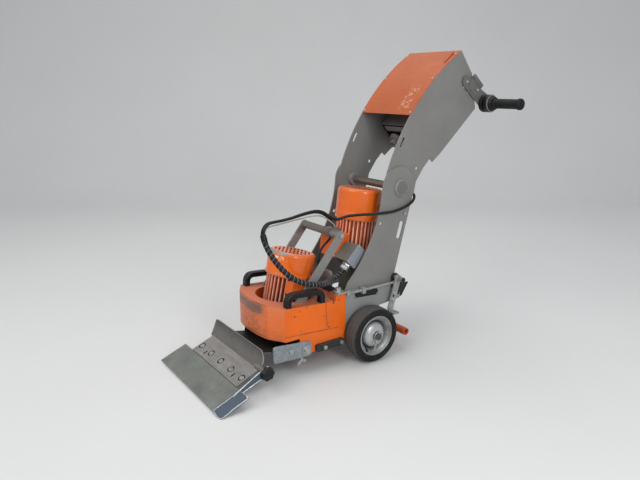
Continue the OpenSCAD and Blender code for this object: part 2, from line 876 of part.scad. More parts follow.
module cable_fittings() {
    clip_x = [34, 62];
    color(black) {
        on_terminal_box() translate([box_gland_x, 0, -36 - 26]) cylinder(r = 13, h = 26);
        difference() {
            slab(clip_x[0], clip_x[1] - clip_x[0])
                polygon(bar([-bow_y, bow_z], [-bow_y + 22, bow_z], bow_r + 4));
            rod(bow_r + run, 0, 200, [-bow_y, bow_z]);
        }
        difference() {
            rod(brace_r + 6, 66, 90, brace_hi);
            rod(brace_r + run, 0, 200, brace_hi);
        }
    }
}

// Cables

module wrapped_cable() {
    path = route(wrap_points, 6);
    color(black) tube(path, [for (i = [0:len(path) - 1]) wrap_r - 1.3 * (i % 2)], [1, 0, 0]);
}

module cable(points, r, aim) {
    path = route(points, 2);
    tube(path, [for (p = path) r], aim);
}

module motor_cable() {
    color(black) cable(motor_points, cable_r, [1, 0, 0]);
}

module light_cable() {
    color([0.72, 0.7, 0.64]) cable(light_points, light_r, [1, 0, 0]);
}

module console_cable() {
    color(black) cable(console_points, console_r, [0.5, -0.75, 0.45]);
}

// Wheels and axle

module axle() {
    color(steel) difference() {
        rod(axle_r, -axle_end, axle_end, [0, axle_z]);
        pair() translate([pin_x, 0, axle_z]) rotate([-pin_turn, 0, 0])
            cylinder(r = 3 + run, h = 40, center = true);
    }
}

module axle_bearings() {
    color(steel) pair() difference() {
        rod(axle_r + 13.5, column_out - 24, column_out, [0, axle_z]);
        rod(axle_r + run, 0, column_out + 1, [0, axle_z]);
    }
}

module worm_wheel() {
    color([0.72, 0.55, 0.25]) difference() {
        rod(wheel_r, -14, 14, [0, axle_z]);
        rod(axle_r + 0.02, -20, 20, [0, axle_z]);
    }
}

module revolve(points) {
    pair() translate([0, 0, axle_z]) rotate([0, 90, 0]) rotate_extrude() polygon(points);
}

module rims() {
    hub = axle_r + 0.02;
    lip = rim_r - 10;
    out = tyre_out - 3;
    color(steel) revolve([
        [hub, tyre_in + 4], [hub, out], [hub + 8, out], [38, out - 5], [rim_r - 27, out - 20],
        [rim_r - 21, out - 21.6], [rim_r - 19, out - 17], [rim_r - 14, out - 9.6],
        [rim_r - 8, out - 4.4], [rim_r - 6, out], [rim_r, out], [rim_r, tyre_in + 4],
        [lip, tyre_in + 4], [lip - 3, tyre_in + 20], [30, tyre_in + 20], [30, tyre_in + 4]
    ]);
}

module tyres() {
    seat = rim_r + run;
    color(black) revolve([
        [seat, tyre_in + 2], [seat, tyre_out - 2], [seat + 4, tyre_out], [tyre_r - 9, tyre_out],
        [tyre_r - 3, tyre_out - 5], [tyre_r, tyre_out - 13], [tyre_r, tyre_in + 13],
        [tyre_r - 3, tyre_in + 5], [tyre_r - 9, tyre_in], [seat + 4, tyre_in]
    ]);
}

module lynch_pins() {
    color(steel) pair() translate([pin_x, 0, axle_z]) {
        rotate([-pin_turn, 0, 0]) translate([0, 0, -50]) cylinder(r = 3, h = 69);
        rotate([0, 90, 0]) rotate_extrude() translate([axle_r + 3.5, 0]) circle(r = 1.8);
    }
}

// Blade head

module blade_carrier() {
    far_r = 8;
    lap = 1.5;
    leg = [
        [leg_y, leg_top - carrier_t], [bend_y + 2 * lap, leg_top - carrier_t],
        [bend_y + lap, leg_top], [leg_y, leg_top]
    ];
    color(galvanised) difference() {
        union() {
            blade_plane() {
                slab(-carrier_hw, 2 * carrier_hw) polygon(leg);
                translate([0, bend_y, leg_top]) rotate([flange_lean, 0, 0])
                    translate([0, 0, -carrier_t]) linear_extrude(carrier_t) polygon(concat(
                        [[-flange_hw, -1.5 * lap], [flange_hw, -1.5 * lap]],
                        arc([flange_hw - flange_r, flange_h - flange_r], flange_r, 0, 90, 10),
                        arc([far_r - flange_hw, flange_h - far_r], far_r, 90, 180, 4)
                    ));
                rod(stud_r + 7, boss_in, boss_out, stud_at);
            }
            front_axis() translate([-tongue_hw, tongue_front, tongue_z])
                cube([2 * tongue_hw, tongue_rear - tongue_front, tongue_t]);
        }
        front_axis() translate([-window_side, -window_side - 2 * throw, tongue_z - 20])
            cube([2 * window_side, 2 * window_side + 2 * throw, 40]);
        blade_plane() {
            rod(stud_r + run, boss_in + 4, boss_out + 1, stud_at);
            for (i = [-2:2]) translate([i * clamp_pitch, clamp_y, 0]) {
                cylinder(r = 5 + run, h = leg_top + 1);
                translate([0, 0, blade_top + 2]) cylinder(r = 13, h = carrier_t);
            }
            for (x = [-110, 40]) translate([x, leg_y + 8, blade_top - 1])
                cube([22, 6, carrier_t + 2]);
        }
    }
}

module blade() {
    color(steel) blade_plane() difference() {
        translate([-blade_hw, guard_t + 4, blade_z]) cube([2 * blade_hw, bend_y - 14, blade_t]);
        for (i = [-2:2]) translate([i * clamp_pitch, clamp_y, 0])
            cylinder(r = 5 + run, h = leg_top);
    }
}

module clamp_bolts() {
    color(galvanised) blade_plane() for (i = [-2:2]) translate([i * clamp_pitch, clamp_y, 0]) {
        translate([0, 0, blade_z]) cylinder(r = 5, h = blade_t + 3);
        translate([0, 0, blade_top + 2]) cylinder(r = 9, h = carrier_t - 1);
    }
}

// Flat sleeve round the blade's edge, its ends bent down to the bottom sheet
module blade_guard() {
    top_y = leg_y - 1;
    strap_end = stud_at[0] + 16;
    fork = stud_r + 0.5;
    top = [
        [-guard_hw, guard_t], [-strap_x, guard_h], [strap_x, guard_h], [guard_hw, guard_t]
    ];
    color(galvanised) blade_plane() difference() {
        union() {
            translate([-guard_hw, 0, 0]) cube([2 * guard_hw, top_y + 3, guard_t]);
            translate([0, top_y, 0]) rotate([90, 0, 0]) linear_extrude(top_y)
                polygon(strip(top, -guard_t));
            translate([0, guard_t, 0]) rotate([90, 0, 0]) linear_extrude(guard_t)
                polygon(concat([[guard_hw, 0], [-guard_hw, 0]], top));
            slab(strap_x, 5) polygon([
                [70, 0], [strap_end, 0], [strap_end, stud_at[1] + 13], [stud_at[0] - 30, 22],
                [70, guard_h]
            ]);
        }
        translate([strap_x - 1, stud_at[0] - fork, stud_at[1] - fork]) cube([7, 60, 2 * fork]);
    }
}

module guard_knob() {
    disc = strap_x + 5 + slide;
    color(black) blade_plane() {
        rod(stud_r, boss_in + 6, disc + 4, stud_at);
        translate([disc, stud_at[0], stud_at[1]]) rotate([0, 90, 0]) rotate_extrude() polygon([
            [0, 0], [15, 0], [24, 3], [24, 15], [20, 19], [0, 19]
        ]);
    }
}

// Console

module console_plates() {
    notch_tip = pivot + [159, 81];
    notch_root = pivot + [145, 94];
    color(grey_paint) pair() difference() {
        slab(console_in, console_t) polygon(concat(
            arc(curve_c, front_curve_r - cover_t, curve_high, curve_cover, 14),
            arc(curve_c, front_curve_r, curve_cover + 0.2, curve_low, 10),
            arc(pivot, console_hub_r, 160, 352, 20),
            [
                pivot + [78, 14], pivot + [115, 65], notch_root, notch_tip, belly, panel_low,
                panel_high
            ]
        ));
        rod(pivot_r + run, console_in - 1, console_out + 1, pivot);
        rod(bar_shaft_r + run, console_in - 1, console_out + 1, bar_pivot);
        slab(console_in - 1, console_t + 2)
            polygon(bar(pivot + [-2, 148], pivot + [12, 148 + slot_l - slot_w], slot_w / 2));
        rod(6, console_in - 1, console_out + 1, pivot + [80, 63]);
    }
}

module pivot_collars() {
    color(grey_paint) pair() difference() {
        rod(collar_r, console_in - collar_w, console_in, pivot);
        rod(pivot_r + run, 0, console_out, pivot);
    }
}

module console_cover() {
    color(orange) slab(-console_out, console_w) polygon(concat(
        arc(curve_c, front_curve_r, curve_high, curve_cover, 14),
        arc(curve_c, front_curve_r - cover_t, curve_cover, curve_high, 14)
    ));
}

module cover_screws() {
    middle = (curve_cover + curve_high) / 2;
    color(galvanised) for (a = [curve_cover - 0.8, middle, curve_high + 1.7]) pair()
        translate([console_out - 10, curve_c[0], curve_c[1]]) rotate([a - 90, 0, 0])
            translate([0, 0, front_curve_r]) cylinder(r = screw_r, h = 3);
}

module control_panel() {
    start = console_top + 4 * unit(panel_high - console_top);
    color(grey_paint) difference() {
        slab(-console_in, 2 * console_in)
            polygon(strip([start, panel_high, panel_low, belly + 4 * under], -panel_t));
        for (i = [-1:1]) on_panel(i * control_pitch) translate([0, 0, -20])
            cylinder(r = stem_r + run, h = 40);
    }
}

module switch_box() {
    base = belly + 10 * under + panel_t * left(under);
    color(grey_paint) slab(-box_w / 2, box_w) polygon([
        base, base + box_l * under, base + box_l * under + box_d * left(under),
        base + box_d * left(under)
    ]);
}

module power_inlet() {
    at = belly + 190 * under;
    color(black) translate([0, at[0], at[1]]) rotate([atan2(-under[0], under[1]) - 90, 0, 0])
        rotate_extrude() polygon([
            [0, 0], [inlet_r + 7, 0], [inlet_r + 7, 5], [inlet_r, 5], [inlet_r, 34],
            [inlet_r + 3, 34], [inlet_r + 3, 46], [inlet_r - 3, 50], [0, 50]
        ]);
}

module stop_button() {
    color([0.75, 0.1, 0.08]) on_panel(-control_pitch) {
        translate([0, 0, -16]) cylinder(r = stem_r, h = 22 + stop_travel);
        translate([0, 0, stop_travel + 3]) rotate_extrude() polygon([
            [0, 0], [stop_r - 4, 0], [stop_r, 5], [stop_r - 2, 11], [stop_r - 9, 15], [0, 16]
        ]);
    }
}

module start_button() {
    color([0.12, 0.45, 0.2]) on_panel(0) {
        translate([0, 0, -16]) cylinder(r = stem_r, h = 20 + start_travel);
        translate([0, 0, start_travel + 2]) cylinder(r = start_r, h = 7);
    }
}

module drive_switch() {
    color(black) on_panel(control_pitch) {
        translate([0, 0, -16]) cylinder(r = stem_r, h = 20);
        translate([0, 0, slide]) cylinder(r = switch_r, h = 8);
        translate([-4, 2 - switch_r, slide + 7]) cube([8, 2 * switch_r - 4, 13]);
    }
}

// Handlebar

module handlebar_arms() {
    color(grey_paint) {
        pair() slab(arm_in, arm_t) polygon(bar(bar_pivot, grip_axis, arm_w / 2));
        rod(bar_shaft_r, -arm_in - 1, arm_in + 1, bar_pivot);
    }
}

module grips() {
    hub = 46;
    tip = hub + grip_l + 2;
    color(black) pair() translate([arm_out, grip_axis[0], grip_axis[1]]) rotate([0, 90, 0])
        rotate_extrude() polygon([
            [0, 0], [hub_disc_r, 0], [hub_disc_r, 22], [hub_disc_r - 4, 24],
            [hub_disc_r - 4, 42], [hub_disc_r - 7, 44], [hub_disc_r - 7, hub + 6], [grip_r, hub + 9],
            [grip_r, tip - 18], [grip_r + 3, tip - 12], [grip_r + 3, tip - 4], [grip_r - 2, tip],
            [0, tip]
        ]);
}

// Pedal lever and latch rod

module side_brackets() {
    guide_y = -22;
    color(black) {
        slab(chassis_out, bracket_t) polygon(concat(
            arc(pedal_pivot, 16, 60, 180, 8),
            [[pedal_pivot[0] - 16, 236], [chassis_rear - 8, 200], [chassis_rear + 14, 257]]
        ));
        rod(pedal_pin_r, chassis_out + 1, pedal_x + 30, pedal_pivot);
        rod(pedal_pin_r + 3, pedal_x + 29, pedal_x + 33, pedal_pivot);
        difference() {
            translate([chassis_out, guide_y, rod_z - 11]) cube([rod_x - chassis_out + 9, 14, 21]);
            translate([rod_x, guide_y - 1, rod_z]) rotate([-90, 0, 0])
                cylinder(r = rod_r + run, h = 20);
        }
        slab(column_in - 14, 5) polygon([[chassis_rear - 17, 188], [chassis_rear - 17, 238],
            [232, 230], [199, 181]]);
    }
}

module pedal_lever() {
    foot = pedal_pivot - pedal_l * [sin(pedal_slope), cos(pedal_slope)];
    color(galvanised) difference() {
        union() {
            rod(pedal_pin_r + 4, chassis_out + bracket_t + slide, pedal_x + 28.5, pedal_pivot);
            slab(pedal_x, pedal_t) polygon(bar(pedal_pivot, foot, pedal_w / 2));
            translate([pedal_x, foot[0] - pedal_w / 2, foot[1] - pedal_w / 2 - 3])
                cube([36, pedal_w, 6]);
            rod(link_pin_r, rod_x - 5, pedal_x + 1, [pedal_pivot[0], rod_z]);
        }
        rod(pedal_pin_r + run, chassis_out, pedal_x + 40, pedal_pivot);
    }
}

module latch_rod() {
    front = -chassis_front;
    color(galvanised) difference() {
        union() {
            translate([rod_x, front + 8, rod_z]) rotate([-90, 0, 0])
                cylinder(r = rod_r, h = pedal_pivot[0] - front - 12);
            translate([rod_x - 5, pedal_pivot[0] - 12, rod_z - 9]) cube([5, 22, 15.2]);
            translate([rod_x - 5, front, rod_z - 5])
                cube([10, 14, strap_z + strap_t - rod_z + 5]);
            translate([bolt_x - 12, bolt_y - 18, strap_z]) cube([rod_x - bolt_x + 17, 38, strap_t]);
            translate([rod_x - 6, bolt_y + 18, strap_z]) cube([11, 18, strap_t]);
        }
        translate([bolt_x - 6.5, bolt_y - 13, strap_z - 1]) cube([13, 21, strap_t + 2]);
        rod(link_pin_r + 1.2, rod_x - 6, rod_x + 2, [pedal_pivot[0], rod_z]);
    }
}

module tilt_bar() {
    arm_r = 13;
    color(orange) difference() {
        union() {
            rod(tilt_r, -tilt_hw, tilt_hw, tilt_at);
            pair() slab(column_out - 12, 12) polygon(bar([42, 80], tilt_at, arm_r));
        }
        rod(tilt_bore_r, -tilt_hw - 1, tilt_hw + 1, tilt_at);
    }
}

chassis_plates();
cross_walls();
column_plates();
column_braces();
pivot_shaft();
pivot_caps();
deck_frame();
ballast_block();
ballast_handles();
frame_bolts();
side_plate();
link_bars();
lift_bow();
motor_pedestal();
front_motor_body();
front_motor_cowl();
front_terminal_box();
carrier_guides();
gearbox_housing();
rear_motor_body();
rear_motor_cowl();
terminal_box();
terminal_lid();
cable_fittings();
axle_bearings();
tilt_bar();
side_brackets();
wrapped_cable();
motor_cable();
light_cable();
console_cable();
axle();
worm_wheel();
rims();
tyres();
lynch_pins();
rear_rotor();
rear_fan();
front_rotor();
eccentric_bearing();
front_fan();
blade_carrier();
blade();
clamp_bolts();
blade_guard();
guard_knob();
console_plates();
pivot_collars();
console_cover();
cover_screws();
control_panel();
switch_box();
power_inlet();
handlebar_arms();
grips();
stop_button();
start_button();
drive_switch();
pedal_lever();
latch_rod();
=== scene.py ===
import math

import bmesh
import bpy
from mathutils import Matrix, Vector


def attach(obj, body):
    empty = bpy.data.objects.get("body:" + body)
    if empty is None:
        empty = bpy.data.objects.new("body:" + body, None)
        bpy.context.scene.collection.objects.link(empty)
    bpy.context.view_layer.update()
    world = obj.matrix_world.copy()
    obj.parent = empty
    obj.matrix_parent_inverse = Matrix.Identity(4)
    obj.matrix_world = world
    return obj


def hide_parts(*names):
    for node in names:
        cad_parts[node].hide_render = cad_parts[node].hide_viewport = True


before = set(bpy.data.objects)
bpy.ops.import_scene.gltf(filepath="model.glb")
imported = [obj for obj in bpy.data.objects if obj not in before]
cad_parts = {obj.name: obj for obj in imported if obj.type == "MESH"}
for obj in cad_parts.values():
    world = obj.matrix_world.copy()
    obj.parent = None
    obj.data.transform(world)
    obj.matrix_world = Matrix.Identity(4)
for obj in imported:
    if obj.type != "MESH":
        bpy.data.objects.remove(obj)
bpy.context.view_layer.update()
SCENE = bpy.context.scene
SCENE.view_settings.view_transform = "Standard"
MM = 0.001
X, Y, Z = range(3)


# Camera at the photograph's viewing angle

CAMERA_HEADING = math.radians(54.53)
CAMERA_DIP = math.radians(14.68)

camera = bpy.data.objects.new("camera", bpy.data.cameras.new("camera"))
SCENE.collection.objects.link(camera)
camera.data.lens = 33.19
camera.data.sensor_width = 36
camera.data.sensor_fit = "HORIZONTAL"
camera.location = (1.6675, -1.2784, 0.9526)
camera.rotation_euler = (math.pi / 2 - CAMERA_DIP, 0, CAMERA_HEADING)
SCENE.camera = camera


# Frames of the part, in millimetres

def moved(x, y, z):
    return Matrix.Translation((x, y, z))


def turned(axis, degrees):
    return Matrix.Rotation(math.radians(degrees), 4, axis)


def tilted(at, degrees):
    return moved(*at) @ turned("X", degrees)


def along_x(x, y, z):
    """Local X, Y, Z are the part's Y, Z, X."""
    return moved(x, y, z) @ Matrix(((0, 0, 1, 0), (1, 0, 0, 0), (0, 1, 0, 0), (0, 0, 0, 1)))


MIRROR = Matrix.Diagonal((-1, 1, 1, 1))
WHEEL_R = 100
WHEEL_X = 187.5
WHEEL = along_x(0, 0, WHEEL_R)
PIVOT = along_x(0, 164, 599)
GRIP = along_x(142, 578.5, 886.4)
KNOB = along_x(0, -439.3, 81.2)
# Plane of the blade, local Y rising to the rear from the guard's front edge
BLADE = tilted((0, -618, 0), 21.5)
# Motor axes, local Z up the shaft
FRONT_LEAN, REAR_LEAN = 12, 7
FRONT_AXIS = tilted((0, -252, 186), -FRONT_LEAN)
REAR_AXIS = tilted((0, 0, WHEEL_R), -REAR_LEAN) @ moved(0, 34, 0)
# Grey terminal box on the near side of the rear motor
TERMINAL = tilted((0, -15, 368), -45)


# Outlines and curves

TINY = 1e-6
SHARPEST_MITRE = 0.4


def inset(ring, d):
    """Counter-clockwise outline of 2-D points, moved inwards by d."""
    out = []
    for i, point in enumerate(ring):
        before, p, after = (Vector(q) for q in (ring[i - 1], point, ring[(i + 1) % len(ring)]))
        u, v = (p - before).normalized(), (after - p).normalized()
        side = Vector((-u.y, u.x))
        n = side + Vector((-v.y, v.x))
        n = n.normalized() if n.length > TINY else side
        out.append(tuple(p + n * (d / max(SHARPEST_MITRE, n.dot(side)))))
    return out


def polar(r, degrees, cx=0, cy=0):
    a = math.radians(degrees)
    return cx + r * math.cos(a), cy + r * math.sin(a)


def arc(cx, cy, r, a0, a1, n):
    return [polar(r, a0 + (a1 - a0) * i / n, cx, cy) for i in range(n + 1)]


def rounded_rect(w, h, r, n):
    x, y = w / 2 - r, h / 2 - r
    centres = ((x, y), (-x, y), (-x, -y), (x, -y))
    return [p for k, at in enumerate(centres) for p in arc(*at, r, 90 * k, 90 * k + 90, n)]


def ngon(r, n):
    return [polar(r, 360 * i / n) for i in range(n)]


def corners(x, y):
    return [(i, j) for i in (-x, x) for j in (-y, y)]


def spline(points, steps):
    """Catmull-Rom curve through the points, with so many steps to a span."""
    p = [Vector(q) for q in points]
    p = [2 * p[0] - p[1]] + p + [2 * p[-1] - p[-2]]
    out = []
    for i in range(1, len(p) - 2):
        a, b, c, d = p[i - 1:i + 3]
        for k in range(steps):
            t = k / steps
            out.append(0.5 * (2 * b + (c - a) * t + (2 * a - 5 * b + 4 * c - d) * t * t
                              + (3 * b - a - 3 * c + d) * t ** 3))
    return out + [p[-2]]


def carried(path, up=None):
    """Each point of a path with its two sideways directions and the distance run so far."""
    path = [Vector(p) for p in path]
    last = len(path) - 1
    ahead = [(path[min(i + 1, last)] - path[max(i - 1, 0)]).normalized() for i in range(last + 1)]
    u, run, out = ahead[0].orthogonal().normalized(), 0, []
    for i, (p, t) in enumerate(zip(path, ahead)):
        run += (p - path[max(i - 1, 0)]).length
        u = (up.cross(t) if up else u - t * u.dot(t)).normalized()
        out.append((p, u, t.cross(u), run))
    return out


def helix(path, r, pitch, lead):
    """Points winding round a path, in the frame that a sweep carries along it."""
    out = []
    for p, u, v, run in carried(path):
        a = 2 * math.pi * (run / pitch + lead)
        out.append(p + (u * math.cos(a) + v * math.sin(a)) * r)
    return out


# Pieces

LOOK = {}
BEAD_STEP = 1.1


class Shape:
    """Vertices and faces of one piece."""

    def __init__(self):
        self.verts, self.faces = [], []

    def rings(self, rings, caps=True):
        """Skin over rings of equally many points."""
        base, n = len(self.verts), len(rings[0])
        for ring in rings:
            self.verts += [tuple(p) for p in ring]
        end = base + (len(rings) - 1) * n
        for a in range(base, end, n):
            for j in range(n):
                k = (j + 1) % n
                self.faces.append((a + j, a + k, a + n + k, a + n + j))
        if caps:
            self.faces.append(tuple(base + j for j in reversed(range(n))))
            self.faces.append(tuple(end + j for j in range(n)))
        return self

    def prism(self, ring, z0, z1, m, bevel, steps=2):
        """Outline from z0 to z1 with rounded edges."""
        turns = [math.pi / 2 * i / steps for i in range(steps + 1)]
        levels = [(bevel * (1 - math.sin(a)), z0 + bevel * (1 - math.cos(a))) for a in turns]
        levels += [(bevel * (1 - math.cos(a)), z1 - bevel * (1 - math.sin(a))) for a in turns]
        return self.rings([[m @ Vector((*p, z)) for p in inset(ring, d)] for d, z in levels])

    def lathe(self, profile, m, n, wave=None, caps=True):
        """Turned about local Z from (radius, z) points; wave changes a radius with the angle."""
        turns = [2 * math.pi * j / n for j in range(n)]
        rings = []
        for r, z in profile:
            radii = [wave(r, a) if wave else r for a in turns]
            rings.append([m @ Vector((q * math.cos(a), q * math.sin(a), z)) for q, a in zip(radii, turns)])
        return self.rings(rings, caps)

    def loop(self, profile, m, n, wave=None):
        """Turned about local Z from a closed (radius, z) outline."""
        return self.lathe([*profile, profile[0]], m, n, wave, caps=False)

    def sweep(self, path, section, up=None):
        """Section, a function of index and distance run that gives 2-D points, along a path."""
        stations = enumerate(carried(path, up))
        return self.rings([[p + u * a + v * b for a, b in section(i, run)] for i, (p, u, v, run) in stations])

    def tube(self, path, r, n):
        return self.sweep(path, lambda i, run: ngon(r, n))

    def bead(self, a, b, r, m=Matrix()):
        """Rippled weld from one point to another."""
        a, b = Vector(a), Vector(b)
        steps = max(8, int((b - a).length / BEAD_STEP))
        path = [m @ a.lerp(b, i / steps) for i in range(steps + 1)]
        return self.sweep(path, lambda i, run: ngon(r * (0.9 + 0.14 * math.cos(i * 2.4)), 9))

    def screw(self, m, r=4.4, h=2.8):
        """Pan head with a recess."""
        profile = [(1, 0), (1, 0.45), (0.86, 0.8), (0.6, 1), (0.52, 1), (0.3, 0.55)]
        return self.lathe([(r * a, h * b) for a, b in profile] + [(0.2, h * 0.5)], m, 20)

    def make(self, name, look, slot, body="chassis", replaces=None, sharp=38):
        """Object of this shape, riding on a body; edges over the sharp angle stay crisp."""
        mesh = bpy.data.meshes.new(name)
        mesh.from_pydata([tuple(c * MM for c in p) for p in self.verts], [], self.faces)
        bm = bmesh.new()
        bm.from_mesh(mesh)
        bmesh.ops.remove_doubles(bm, verts=bm.verts, dist=1e-7)
        bmesh.ops.recalc_face_normals(bm, faces=bm.faces)
        for face in bm.faces:
            face.smooth = True
        for edge in bm.edges:
            edge.smooth = len(edge.link_faces) != 2 or edge.calc_face_angle(0) < math.radians(sharp)
        bm.to_mesh(mesh)
        bm.free()
        mesh.materials.append(LOOK[look])
        ob = bpy.data.objects.new(name, mesh)
        SCENE.collection.objects.link(ob)
        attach(ob, body)
        if replaces:
            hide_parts(replaces)
        return ob


def both(build):
    """One shape holding a piece and its mirror image."""
    shape = Shape()
    for m in (Matrix(), MIRROR):
        build(shape, m)
    return shape


def turned_pair(profile, place, n, closed=True):
    """A turned piece on both sides, from a closed outline or from an open profile with flat ends."""
    return both(lambda s, m: (s.loop if closed else s.lathe)(profile, m @ place, n))


# Materials

def rgba(colour):
    """Colour for a socket, from a hex string or from linear values."""
    if isinstance(colour, str):
        c = [int(colour[i:i + 2], 16) / 255 for i in (1, 3, 5)]
        colour = [x / 12.92 if x <= 0.04045 else ((x + 0.055) / 1.055) ** 2.4 for x in c]
    return (*colour, 1)


class Finish:
    """A node material, with the part's own coordinates in metres."""

    def __init__(self, name, mean, rough, metal=0, shine=0.5):
        self.name = name
        self.mat = bpy.data.materials.new(name)
        self.mat.use_nodes = True
        self.mat.diffuse_color = rgba(mean)
        self.tree = self.mat.node_tree
        self.shader = self.tree.nodes["Principled BSDF"]
        start = {"Base Color": mean, "Roughness": rough, "Metallic": metal, "Specular IOR Level": shine}
        self.fill(self.shader, start)
        self.co = self.add("ShaderNodeTexCoord").outputs["Object"]
        self.normal = self.add("ShaderNodeNewGeometry").outputs["Normal"]
        self.soft, self.tone, self.rough, self.height = None, mean, rough, None

    def fill(self, node, values):
        """Link or set the sockets of a node, by their names or numbers."""
        for key, value in values.items():
            socket = node.inputs[key]
            if isinstance(value, bpy.types.NodeSocket):
                self.tree.links.new(value, socket)
            else:
                socket.default_value = rgba(value) if socket.type == "RGBA" else value

    def add(self, kind, values=None, **settings):
        """A new node with its settings and its sockets filled."""
        node = self.tree.nodes.new(kind)
        for key, value in settings.items():
            setattr(node, key, value)
        self.fill(node, values or {})
        return node

    def noise(self, scale, detail=3, rough=0.55, turn=(0, 0, 0), bend=0):
        """Noise of one scale, or stretched by three of them."""
        where = self.co
        if isinstance(scale, tuple):
            angles = [math.radians(a) for a in turn]
            mapping = self.add("ShaderNodeMapping", {"Vector": where, "Scale": scale, "Rotation": angles})
            where, scale = mapping.outputs["Vector"], 1
        values = {"Vector": where, "Scale": scale, "Detail": detail, "Roughness": rough, "Distortion": bend}
        return self.add("ShaderNodeTexNoise", values).outputs["Fac"]

    def patches(self, low, high, *noise, to=(0, 1), **more):
        """Noise, spread between two of its levels."""
        return self.fit(self.noise(*noise, **more), low, high, *to)

    def uneven(self, scale, low, high):
        """Roughness that varies between two values."""
        return self.patches(0.3, 0.7, scale, 4, to=(low, high))

    def cells(self, scale):
        node = self.add("ShaderNodeTexVoronoi", {"Vector": self.co, "Scale": scale})
        return self.axis(node.outputs["Color"], X)

    def fit(self, value, a, b, c=0, d=1):
        return self.add("ShaderNodeMapRange", dict(enumerate((value, a, b, c, d)))).outputs[0]

    def op(self, kind, a, b=0):
        return self.add("ShaderNodeMath", {0: a, 1: b}, operation=kind).outputs[0]

    def times(self, *factors):
        product = factors[0]
        for x in factors[1:]:
            product = self.op("MULTIPLY", product, x)
        return product

    def length(self, a, b):
        return self.op("SQRT", self.op("ADD", self.op("POWER", a, 2), self.op("POWER", b, 2)))

    def mix(self, share, a, b):
        return self.add("ShaderNodeMix", {0: share, 6: a, 7: b}, data_type="RGBA").outputs[2]

    def over(self, colour, *masks):
        """Lay a colour over the tone, as far as the product of the masks says."""
        self.tone = self.mix(self.times(*masks), self.tone, colour)

    def axis(self, vector, i):
        return self.add("ShaderNodeSeparateXYZ", {0: vector}).outputs[i]

    def facing(self, i):
        return self.axis(self.normal, i)

    def place(self, i):
        return self.axis(self.co, i)

    def between(self, value, out, low, high, past):
        """1 from low to high, fading to 0 at out and past."""
        return self.times(self.fit(value, out, low), self.fit(value, high, past, 1, 0))

    def band(self, i, low, high, soft):
        """1 between two coordinates of the part, fading over soft."""
        return self.between(self.place(i), low - soft, low, high, high + soft)

    def motor(self, axis, lean):
        """Height along a leaning motor axis, distance from it and distance behind it."""
        _, y, z = axis.translation * MM
        c, s = polar(1, lean)
        back, rise = self.op("SUBTRACT", self.place(Y), y), self.op("SUBTRACT", self.place(Z), z)
        up = self.op("ADD", self.times(back, s), self.times(rise, c))
        behind = self.op("SUBTRACT", self.times(back, c), self.times(rise, s))
        return up, self.length(self.place(X), behind), behind

    def from_axle(self):
        """Distance from the wheels' axle."""
        return self.length(self.place(Y), self.op("SUBTRACT", self.place(Z), WHEEL_R * MM))

    def edges(self, r):
        """1 on convex and concave edges, from a rounded normal, which is kept for the surface."""
        self.soft = self.add("ShaderNodeBevel", {"Radius": r}, samples=4).outputs[0]
        dot = self.add("ShaderNodeVectorMath", {0: self.soft, 1: self.normal}, operation="DOT_PRODUCT")
        return self.fit(dot.outputs["Value"], 0.99, 0.86)

    def gloss(self):
        self.fill(self.shader, {"Coat Weight": 0.4, "Coat Roughness": 0.12})

    def done(self, depth=0.0002, strength=0.3):
        """Wire the tone, the roughness and the relief, and file the material under its name."""
        self.fill(self.shader, {"Base Color": self.tone, "Roughness": self.rough})
        if self.height:
            relief = {"Strength": strength, "Distance": depth, "Height": self.height}
            if self.soft:
                relief["Normal"] = self.soft
            self.fill(self.shader, {"Normal": self.add("ShaderNodeBump", relief).outputs[0]})
        LOOK[self.name] = self.mat


class Paint(Finish):
    """Brushed-on paint with dust on its tops, a film on its sides, chips, scratches and worn edges."""

    def __init__(self, name, base, shade, dust, bare, mean, dusty, film, chips, rough=0.42, worn=0.8):
        super().__init__(name, mean, rough, shine=0.3)
        self.tone = self.mix(self.patches(0.32, 0.68, 4.5, 5, 0.6), shade, base)
        self.over(shade, self.patches(0.5, 0.75, (46, 46, 3.5), 4, 0.6), 0.22)
        lying = self.patches(0.28, 0.62, 11, 6, 0.68, to=(0.35, 1))
        top = self.times(self.fit(self.facing(Z), 0.2, 0.92), lying, dusty)
        side = self.times(self.patches(0.42, 0.72, 6, 7, 0.7, bend=0.6), film)
        coat = self.op("MAXIMUM", top, side)
        self.over(dust, coat)
        chip = self.patches(chips, chips + 0.03, 34, 6, 0.72)
        line = self.patches(0.735, 0.76, (12, 220, 160), 2, 0.5, turn=(18, 0, 0))
        edge = self.times(self.edges(0.0016), self.patches(0.38, 0.62, 42, 4, 0.65), worn)
        gone = self.op("MAXIMUM", self.op("MAXIMUM", chip, self.times(line, 0.5)), edge)
        self.over(bare, gone)
        peel = self.op("ADD", self.times(self.noise(520, 2), 0.35), self.times(self.noise(60, 4), 0.3))
        self.height = self.op("SUBTRACT", peel, self.times(gone, 0.7))
        patchy = self.uneven(25, rough - 0.07, rough + 0.08)
        self.rough = self.op("ADD", patchy, self.times(coat, 0.35))

    def done(self, depth=0.0004, strength=0.35):
        super().done(depth, strength)

    def cut(self, mask):
        """Lower the surface where paint has come off."""
        self.height = self.op("SUBTRACT", self.height, self.times(mask, 0.6))


ORANGE, ORANGE_DARK = "#E96A12", "#D65B0F"
PRIMER, BARE = "#C9B7A6", "#8A867F"
GREYS = ("#7F7D7A", "#74726F", "#8A867F", "#A5A29B")
SATIN = (0.4, 0.16, 0.735, 0.45, 0.75)

